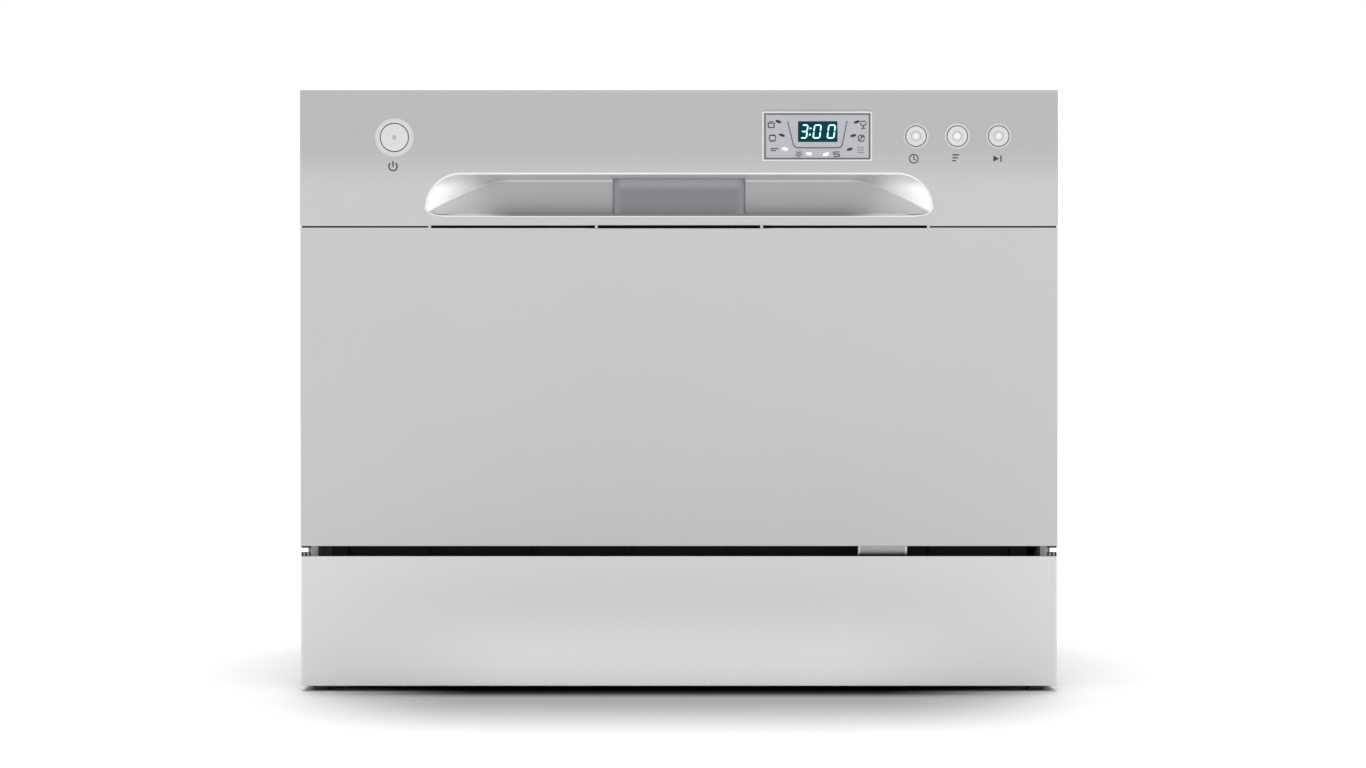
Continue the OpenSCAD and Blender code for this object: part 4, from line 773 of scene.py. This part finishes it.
class DISHWASHER_OT_light_display(Maker):
    """Window border, lit digits, indicator slits and their symbols"""

    bl_idname = "dishwasher.light_display"
    bl_label = "Light the display"
    DIGITS = {"3": "abcdg", "0": "abcdef"}

    def make(self, scene):
        look = scene.dishwasher_finish
        x0, z0, x1, z1 = 61.6, 386.4, 138.5, 421.2  # border of the window in millimetres
        # painted shade: a dark line for the groove round the window
        face_marks("window_line", "window_plastic", inked("groove_shade_ink", (0.1, 0.1, 0.105), 0.45),
                   self.hoop(x0 + 0.9, z0 + 0.4, x1 - 0.3, z1 - 2.2, 0.95))
        # painted highlight: a pale line for the lit bevel outside the groove
        face_marks("window_edge", "fascia_plastic", inked("bevel_highlight", (0.66, 0.665, 0.67), 0.3),
                   self.hoop(x0 - 0.7, z0 - 0.9, x1 + 1.1, z1 - 0.9, 1.0), front=0.12, thick=0.15)
        block = Shape()
        plate(block, rounded_box(0.0864, 0.3988, 0.115, 0.4138, 0.0004), FACE_Y - 0.00002, FACE_Y + 0.00012)
        block.piece("digit_screen", "door", "display_glass")
        lit = self.lit("digit_light", tuple(look.led), look.led_strength)
        strokes = []
        for mark, left, wide in (("3", 88.3, 4.1), ("0", 97.3, 4.7), ("0", 107.6, 4.7)):
            strokes += self.digit(mark, left, 401.7, wide, 9.3)
        for x, z in ((94.95, 404.1), (95.5, 408.6)):
            turn = full_turn(12)
            strokes.append(np.stack([x + 0.65 * np.cos(turn), z + 0.65 * np.sin(turn)], -1))
        face_marks("digits", "display_glass", lit, strokes, thick=0.05, front=0.06)
        line = [(78.8, 413.6), (83.1, 396.5), (85.4, 394.6), (116.8, 394.6), (118.4, 396.5), (122.0, 414.0)]
        bands = [stroke(line[k], line[k + 1], 0.8 if k in (0, 4) else 0.95) for k in range(5)]
        face_marks("bowl_line", "window_plastic", inked("thin_ink", (0.13, 0.13, 0.14)), bands)
        slits = [self.slit(72.1, 413.6, -20), self.slit(74.7, 403.7, -18), self.slit(129.0, 413.3, 18),
                 self.slit(126.5, 403.4, 14), self.slit(123.9, 393.5, 18)]
        face_marks("dark_slits", "window_plastic", inked("slit_dark", (0.012, 0.012, 0.014), 0.3), slits)
        glow = self.lit("slit_light", (0.95, 0.98, 1.0), 1.05)
        face_marks("lit_slits", "window_plastic", glow,
                   [self.slit(76.8, 393.7, -8), self.slit(94.3, 390.2, -4), self.slit(106.6, 389.9, 16)])
        face_marks("window_marks", "window_plastic", inked("mark_ink", shade(tuple(look.print_ink), 0.8)),
                   [outline - (0, 0.9) for outline in self.symbols()])

    def hoop(self, x0, z0, x1, z1, width):
        """Four bars that meet at the corners of a rectangle."""
        h = width / 2
        return [stroke((x0 - h, z0), (x1 + h, z0), width), stroke((x0 - h, z1), (x1 + h, z1), width),
                stroke((x0, z0 + h), (x0, z1 - h), width), stroke((x1, z0 + h), (x1, z1 - h), width)]

    def digit(self, mark, left, low, wide, tall):
        """Slanted seven-segment digit."""
        lean = 0.13
        corners = {key: (left + wide * a + lean * tall * b, low + tall * b) for key, a, b in (
            ("bl", 0, 0), ("br", 1, 0), ("ml", 0, 0.5), ("mr", 1, 0.5), ("tl", 0, 1), ("tr", 1, 1))}
        ends = {"a": ("tl", "tr"), "b": ("mr", "tr"), "c": ("br", "mr"), "d": ("bl", "br"),
                "e": ("bl", "ml"), "f": ("ml", "tl"), "g": ("ml", "mr")}
        made = []
        for key in self.DIGITS[mark]:
            p, q = (np.array(corners[name]) for name in ends[key])
            gap = (q - p) / np.linalg.norm(q - p) * 0.2
            made.append(stroke(p + gap, q - gap, 0.95, pointed=True))
        return made

    def slit(self, x, z, angle):
        """A lens-shaped window for a lamp."""
        t = full_turn(20)
        wide, tall = 2.2 * np.cos(t), 0.95 * np.sign(np.sin(t)) * np.abs(np.sin(t)) ** 0.8
        a = math.radians(angle)
        return np.stack([x + wide * math.cos(a) - tall * math.sin(a),
                         z + wide * math.sin(a) + tall * math.cos(a)], -1)

    def symbols(self):
        """Small signs of the programmes: pot, plate, sun, arrows, glass, clock and spray."""
        w = 0.66
        made = [stroke(*pair, w) for pair in (
            ((64.6, 410.2), (69.2, 410.2)), ((64.8, 410.2), (64.8, 413.4)), ((69.0, 410.2), (69.0, 413.4)),
            ((64.2, 413.4), (69.6, 413.4)), ((65.8, 414.4), (68.0, 414.4)),
            ((65.6, 404.5), (70.2, 404.5)), ((65.8, 400.4), (70.0, 400.4)),
            ((66.6, 394.9), (72.2, 394.9)), ((66.6, 393.5), (70.4, 393.5)),
            ((131.6, 414.6), (135.8, 414.6)), ((133.7, 411.6), (133.7, 409.6)), ((132.2, 409.6), (135.2, 409.6)),
            ((130.2, 400.4), (134.4, 404.6)), ((132.3, 402.4), (132.3, 404.0)),
            ((112.2, 392.4), (116.6, 392.4)), ((112.2, 390.8), (116.4, 390.8)), ((112.0, 389.2), (116.4, 389.2)),
            ((112.2, 392.4), (112.2, 390.8)), ((116.4, 390.8), (116.4, 389.2)))]
        made += [ring_band(67.9, 402.5, 2.3, w, 0, 350), ring_band(133.7, 413.6, 2.1, w, 180, 360),
                 ring_band(132.3, 402.4, 2.3, w, 0, 350), ring_band(86.9, 390.8, 1.1, 0.55, 0, 350)]
        for a in full_turn(8):
            way = np.array([math.cos(a), math.sin(a)])
            made.append(stroke((86.9, 390.8) + way * 1.8, (86.9, 390.8) + way * 2.8, 0.45))
        for i in range(3):
            for j in range(3):
                made.append(stroke((129.6 + 1.7 * i, 395.6 - 1.8 * j), (130.6 + 1.7 * i, 395.6 - 1.8 * j), 0.55))
        return made

    def lit(self, name, colour, strength):
        """A lamp's light behind a diffuser, a little uneven."""
        g = Graph(name)
        base = g.mix(shade(colour, 0.8), colour, g.noise(900, 2.0))
        return g.finish(Base_Color=base, Roughness=0.4, Emission_Color=base, Emission_Strength=strength)


class DISHWASHER_OT_seal_seam(Maker):
    """Gasket between fascia and door panel, with the trim and the clips of the seam"""

    bl_idname = "dishwasher.seal_seam"
    bl_label = "Seal the seam"

    def make(self, scene):
        inner, outer = 0.060, 0.181  # places of the clips
        half, span = PANEL[1].x - 0.0012, outer + 0.0005
        strip = Shape()
        # a lip whose height grows towards the middle; its face is a little hollow. Its near-black colour
        # is the joint's own and also paints the seam's shade
        x = np.concatenate([np.linspace(-half, -span, 20), np.linspace(-span + 0.0008, span - 0.0008, 40),
                            np.linspace(span, half, 20)])
        tall = np.where(np.abs(x) < inner + 0.0005, 0.00118, np.where(np.abs(x) < span, 0.00098, 0.0006))
        mid = (PANEL[1].z + FASCIA[0].z) / 2 - 0.0003
        share = np.linspace(-1, 1, 7)
        rows = [(FACE_Y - 0.00016 + 0.0001 * (1 - c * c) + 0.0001 * c ** 6, mid + tall * c) for c in share]
        rows += [(FACE_Y + 0.0002, mid + tall), (FACE_Y + 0.0002, mid + 0.0004), (FACE_Y + 0.004, mid + 0.0004),
                 (FACE_Y + 0.004, mid - 0.0004), (FACE_Y + 0.0002, mid - 0.0004), (FACE_Y + 0.0002, mid - tall)]
        strip.grid(np.stack([points_at(x, y, h) for y, h in rows], 1), closed_columns=True, caps=True)
        strip.piece("seam_gasket", "door", "seal_rubber", moulded(
            "seam_black_and_shade", (0.003, 0.003, 0.003), 0.9, Specular_IOR_Level=0.04))
        trim = Shape()
        # a rounded strip that fills the seam beside and behind the lip; its pale colour is a painted highlight
        share = np.linspace(-1, 1, 9)
        low, high = PANEL[1].z - 0.0003, FASCIA[0].z + 0.0003
        rows = [(FACE_Y + 0.0001 * c ** 4 - 0.00006, (low + high) / 2 + (high - low) / 2 * c) for c in share]
        rows += [(FACE_Y + 0.0006, high), (FACE_Y + 0.0006, low)]
        trim.grid(np.stack([points_at(x, y, h) for y, h in rows], 1), closed_columns=True, caps=True)
        trim.piece("seam_trim", "door", "fascia_plastic", finish_of("rim_plastic"))
        clips = Shape()
        for x in (-outer, -inner, inner, outer):
            plate(clips, rounded_box(x - 0.0011, mid - 0.0011, x + 0.0011, mid + 0.0011, 0.0004),
                  FACE_Y - 0.0004, FACE_Y + 0.003, 0.0003)
        clips.piece("seam_clips", "door", "fascia_plastic")


class DISHWASHER_OT_press_seal(Maker):
    """Hollow rubber seal round the tub's mouth"""

    bl_idname = "dishwasher.press_seal"
    bl_label = "Press the door seal"

    def make(self, scene):
        low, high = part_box("door_seal")
        inset = 0.0035
        outline = rounded_box(low.x + inset, low.z + inset, high.x - inset, high.z - inset, 0.026, 12)
        # bulb in the middle, a thin lip at each side
        angle = np.linspace(0, np.pi, 11)
        bulb = np.stack([0.0021 * np.cos(angle), 0.0004 + 0.0022 * np.sin(angle)], -1)
        section = np.concatenate([[(0.0033, 0.0), (0.0034, 0.0016), (0.0031, 0.0017), (0.0026, 0.0004)],
                                  bulb, [(-0.0026, 0.0004), (-0.0031, 0.0017), (-0.0034, 0.0016), (-0.0033, 0.0)]])
        seal = framed(Shape(), outline, section, high.y)
        made = seal.piece("bulb_seal", "cabinet", "seal_rubber", smooth=50)
        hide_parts("door_seal")


class DISHWASHER_OT_turn_screws(Maker):
    """Domed screws with crossed slots, at the rear and round the door's liner"""

    bl_idname = "dishwasher.turn_screws"
    bl_label = "Turn the screws"

    def make(self, scene):
        low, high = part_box("casing_screws")
        r = 0.0034
        zs = (low.z + r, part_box("outer_casing")[1].z / 2, high.z - r)
        places = [(x, z) for x in (low.x + r, high.x - r) for z in zs] + [(0.0, zs[2])]
        self.screws("rear_screw_heads", "cabinet", "casing_screws", places, high.y, r, 0.001, high.y - low.y)
        low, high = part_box("door_screws")
        r = 0.0032
        places = [(x, low.z + r + (high.z - low.z - 2 * r) * i / 3)
                  for x in (low.x + r, high.x - r) for i in range(4)]
        self.screws("liner_screw_heads", "door", "door_screws", places, high.y, r, 0.0012, high.y - low.y)

    def screws(self, name, body, node, places, top, r, head, length):
        """One piece with all heads and threaded shanks of a node, and one with their slots."""
        heads, slots = Shape(), Shape()
        angle = np.linspace(0, np.pi / 2, 7)
        dome = np.stack([r * np.sin(angle), -head * (0.35 + 0.65 * np.cos(angle))], -1)
        profile = np.concatenate([dome, [(r, 0.0), (0.0016, 0.0)],
                                  [(0.0016 - 0.0003 * (k % 2), 0.001 * k) for k in range(1, 8)],
                                  [(0.0, length - head)]])
        for x, z in places:
            lathe(heads, profile, x, z, top - head, 28)
            # the slots are black plates: painted shade of the cross recess
            for turn in (0.3, 0.3 + np.pi / 2):
                way = np.array([math.cos(turn), math.sin(turn)]) * r * 0.55
                plate(slots, stroke((x, z) - way, (x, z) + way, r * 0.2), top - head * 0.1, top + 0.00002)
        made = heads.piece(name, body, "hardware_steel", smooth=35)
        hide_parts(node)
        slots.piece(name + "_slots", body, "hardware_steel", finish_of("black_plastic"))


class DISHWASHER_OT_turn_feet(Maker):
    """Screw feet: ribbed pads on threaded stems"""

    bl_idname = "dishwasher.turn_feet"
    bl_label = "Turn the feet"

    def make(self, scene):
        for node in ("foot_front_left", "foot_front_right", "foot_rear_left", "foot_rear_right"):
            low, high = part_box(node)
            at, r, top = middle(node), (high.x - low.x) / 2, high.z
            pad = 0.0057
            threads = [(0.0040 - 0.0005 * (k % 2), pad + 0.0008 * (k + 1))
                       for k in range(int((top - pad) / 0.0008) - 1)]
            foot = Shape()
            turn = full_turn(72)
            profile = np.array([(0, 0.0), (r - 0.0012, 0.0), (r - 0.0003, 0.0007), (r, 0.0015),
                                (r, pad - 0.001), (r - 0.0006, pad - 0.0002), (0.0041, pad)]
                               + threads + [(0.0034, top), (0, top)])
            # the pad's rim is fluted: its radius falls a little between the ribs
            flute = 1 - 0.06 * (np.cos(turn * 18) < 0) * ((profile[:, :1] > r * 0.95) & (profile[:, 1:] > 0.001))
            radius = profile[:, :1] * flute
            foot.grid(points_at(at.x + radius * np.cos(turn), at.y + radius * np.sin(turn), profile[:, 1:]),
                      closed_columns=True)
            made = foot.piece(node + "_turned", node, "foot_plastic", smooth=35)
            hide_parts(node)


class DISHWASHER_OT_tip_tines(Maker):
    """Plastic tips on the rack's upright wires"""

    bl_idname = "dishwasher.tip_tines"
    bl_label = "Tip the tines"

    def make(self, scene):
        low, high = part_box("rack_basket")
        half = (high.x - low.x) / 2 - 0.0025
        angle = np.linspace(0, np.pi / 2, 6)
        tips = Shape()
        # the tines' ends above the basket's underside
        top = low.z + 0.0594
        r = 0.0021
        profile = ([(0.0, -0.007), (0.00155, -0.007), (r, -0.0066), (r, -0.0002)]
                   + [(r * math.cos(a), r * math.sin(a)) for a in angle[1:]])
        for row in (5, 7):
            y = low.y + 0.0075 + 0.034 * row
            for i in range(10):
                upright(tips, np.array(profile) + (0, top), -half + 0.020 + 0.026 * i, y, 14)
        tips.piece("tine_tips", "rack", "rack_coating", finish_of("basket_plastic"), smooth=60)


class DISHWASHER_OT_drill_arm(Maker):
    """Spray nozzles of the spray arm and the rib along each of its sides"""

    bl_idname = "dishwasher.drill_arm"
    bl_label = "Drill the spray arm"

    def make(self, scene):
        hub_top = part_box("spray_arm")[1].z
        jets = Shape()
        for side in (-1, 1):
            for d in (0.045, 0.085, 0.125, 0.165):
                z = hub_top - 0.003 - 0.002 * (d - 0.012) / 0.166
                ring = [(0.00165, z - 0.001), (0.00165, z + 0.0009), (0.0021, z + 0.0012),
                        (0.0029, z + 0.001), (0.0038, z + 0.0001), (0.004, z - 0.001)]
                upright(jets, ring, side * d, side * 0.004, 28, closed=True)
        # rib along the middle of each arm: a low rounded ridge that narrows outward
        for side in (-1, 1):
            t = np.linspace(0, 1, 24)
            x = side * (0.024 + 0.148 * t)
            z = hub_top - 0.0032 - 0.002 * t
            swept(jets, points_at(x, -side * 0.005 * (1 - t) - 0.004 * side, z), 0.0012 * (1 - 0.5 * t), 10)
        jets.piece("arm_nozzles", "spray_arm", "arm_plastic", smooth=45)


class DISHWASHER_OT_hem_panels(Maker):
    """Rolled hem of the kick panel, rolled ends of the door's guard, and ears beside the slot"""

    bl_idname = "dishwasher.hem_panels"
    bl_label = "Hem the panels"
    GUARD = 0.007  # how far the guard reaches below the door panel

    def make(self, scene):
        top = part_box("kick_panel")[1]
        x = (top.x - 0.0016) * np.linspace(-1, 1, 61)
        # the hem's pale colour is a painted highlight
        hem = swept(Shape(), points_at(x, FACE_Y + 0.0006, top.z - 0.0006), 0.00062, 10)
        hem.piece("kick_hem", "cabinet", "white_steel", finish_of("rim_plastic"), smooth=60)
        self.ears(top.z)
        # the guard's ends are rolled; their pale colour is a painted highlight
        turn = np.linspace(0.05, 1.5, 24)
        rolls = Shape()
        for x in (0.1311, 0.1651):
            swept(rolls, points_at(x, FACE_Y + 0.011 - 0.0065 * np.cos(turn),
                                   PANEL[0].z + self.GUARD - 0.0065 * np.sin(turn)), 0.0009, 12)
        rolls.piece("guard_rolls", "door", "white_steel", finish_of("highlight_plastic"), smooth=60)

    def ears(self, kick_top):
        """Ribbed end pieces in the slot under the door at both sides: a low one hangs from the
        door, a taller one stands on the kick panel outside the circle of the door's corner."""
        hanging, standing, ribs = Shape(), Shape(), Shape()
        door_low = PANEL[0].z + self.GUARD
        outer, wide = PANEL[1].x - 0.0007, 0.0068
        for side in (-1, 1):
            left, right = sorted((side * outer, side * (outer - wide)))
            for shape, y0, y1, z0, z1 in ((hanging, 0.0011, 0.0061, door_low - 0.0014, door_low + 0.0006),
                                          (standing, 0.0012, 0.0036, kick_top - 0.0004, kick_top + 0.003)):
                plate(shape, rounded_box(left, z0, right, z1, 0.0004, 3), FACE_Y + y0, FACE_Y + y1, 0.0002)
            for at in (0.0022, 0.0050):
                x = side * (outer - at)
                plate(ribs, rounded_box(x - 0.0007, kick_top, x + 0.0007, kick_top + 0.0027, 0.0003, 3),
                      FACE_Y + 0.0009, FACE_Y + 0.0013, 0.0001)
        hanging.piece("hanging_ears", "door", "black_plastic")
        ribs.piece("ear_ribs", "cabinet", "black_plastic", finish_of("drain_plastic"))
        standing.piece("standing_ears", "cabinet", "black_plastic")


class DISHWASHER_OT_lay_stage(Maker):
    """Floor, soft light and the camera"""

    bl_idname = "dishwasher.lay_stage"
    bl_label = "Lay the stage"

    def make(self, scene):
        stage = scene.dishwasher_stage
        half = stage.floor_half
        mesh = bpy.data.meshes.new("floor")
        line = np.linspace(-half, half, 9)
        flat = Shape()
        flat.grid(np.stack([*np.meshgrid(line, line), np.zeros((9, 9))], -1))
        mesh.from_pydata(np.concatenate(flat.points).tolist(), [], flat.faces)
        floor = bpy.data.objects.new("floor", mesh)
        scene.collection.objects.link(floor)
        g = Graph("floor_paper_painted_shadow")
        paper_and_shadow = g.mix((0.71, 0.71, 0.71), (0.73, 0.73, 0.73), g.noise(3))
        # painted shadow: the soft shade that the body throws on the paper before and behind it
        away = abs(g.axis(1))
        across = 1 - abs(g.axis(0)).ramp(0.14, 0.30)
        contact_shadow = 1 - away.ramp(0.258, 0.302)
        far = 1 - away.ramp(0.29, 0.62)
        paper_and_shadow = g.mix(paper_and_shadow, (0.3, 0.3, 0.3), far * across * 0.72)
        # painted contact shadow, dark, right at the body
        paper_and_shadow = g.mix(paper_and_shadow, (0.012, 0.012, 0.012), contact_shadow * across)
        # clear from beneath, so that the underside can be looked at
        below = g.node("ShaderNodeNewGeometry", output="Backfacing")
        mesh.materials.append(g.finish(Base_Color=paper_and_shadow, Roughness=0.95, Specular_IOR_Level=0.1,
                                       Alpha=1 - below))
        world = bpy.data.worlds.new("studio")
        world.use_nodes = True
        sky = world.node_tree.nodes["Background"].inputs
        sky["Color"].default_value, sky["Strength"].default_value = (1, 1, 1, 1), stage.sky
        scene.world = world
        self.lamp(scene, "key", (0.3, -2.2, 1.9), (0.0, 0.0, 0.25), 1.8, stage.key)
        self.lamp(scene, "high_sun", (0.0, 1.0, 2.1), (0.0, 0.0, 0.0), 0.7, stage.sun, "SUN")
        scene.view_settings.view_transform = "Standard"
        lens = bpy.data.cameras.new("camera")
        lens.lens, lens.sensor_width = stage.lens, 36.0
        camera = bpy.data.objects.new("camera", lens)
        camera.location = (0.0029, FACE_Y - stage.distance, 0.2231)
        camera.rotation_euler = (math.pi / 2, 0, 0)
        scene.collection.objects.link(camera)
        scene.camera = camera

    def lamp(self, scene, name, place, target, size, power, kind="AREA"):
        """A round soft light at a place, aimed at a target."""
        light = bpy.data.lights.new(name, kind)
        light.energy = power
        if kind == "SUN":
            light.angle = size
        else:
            light.shape, light.size = "DISK", size
        lamp = bpy.data.objects.new(name, light)
        lamp.location = place
        way = np.array(target) - np.array(place)
        lamp.rotation_euler = (math.acos(-way[2] / np.linalg.norm(way)), 0,
                               math.atan2(way[1], way[0]) - math.pi / 2)
        scene.collection.objects.link(lamp)


MAKERS = (
    DISHWASHER_OT_paint_frame, DISHWASHER_OT_form_recess, DISHWASHER_OT_fit_buttons,
    DISHWASHER_OT_print_marks, DISHWASHER_OT_light_display, DISHWASHER_OT_seal_seam,
    DISHWASHER_OT_hem_panels, DISHWASHER_OT_press_seal, DISHWASHER_OT_turn_screws,
    DISHWASHER_OT_turn_feet, DISHWASHER_OT_tip_tines, DISHWASHER_OT_drill_arm,
    DISHWASHER_OT_lay_stage)
GROUPS = {
    "dishwasher_finish": DISHWASHER_PG_finish,
    "dishwasher_recess": DISHWASHER_PG_recess,
    "dishwasher_stage": DISHWASHER_PG_stage,
}


class DISHWASHER_PT_sidebar(bpy.types.Panel):
    """The makers, in the order in which they run"""

    bl_idname = "DISHWASHER_PT_sidebar"
    bl_label = "Dishwasher"
    bl_space_type = "VIEW_3D"
    bl_region_type = "UI"
    bl_category = "Dishwasher"

    def draw(self, context):
        for maker in MAKERS:
            self.layout.operator(maker.bl_idname)
        for name in GROUPS:
            group = getattr(context.scene, name)
            box = self.layout.box()
            for key in group.bl_rna.properties.keys():
                if key not in ("rna_type", "name"):
                    box.prop(group, key)


CLASSES = (*GROUPS.values(), *MAKERS, DISHWASHER_PT_sidebar)


def register():
    for made in CLASSES:
        bpy.utils.register_class(made)
    for name, group in GROUPS.items():
        setattr(bpy.types.Scene, name, bpy.props.PointerProperty(type=group))


def unregister():
    for name in GROUPS:
        delattr(bpy.types.Scene, name)
    for made in reversed(CLASSES):
        bpy.utils.unregister_class(made)


def main():
    register()
    for maker in MAKERS:
        group, name = maker.bl_idname.split(".")
        getattr(getattr(bpy.ops, group), name)()
    bpy.context.view_layer.update()


if __name__ == "__main__":
    main()
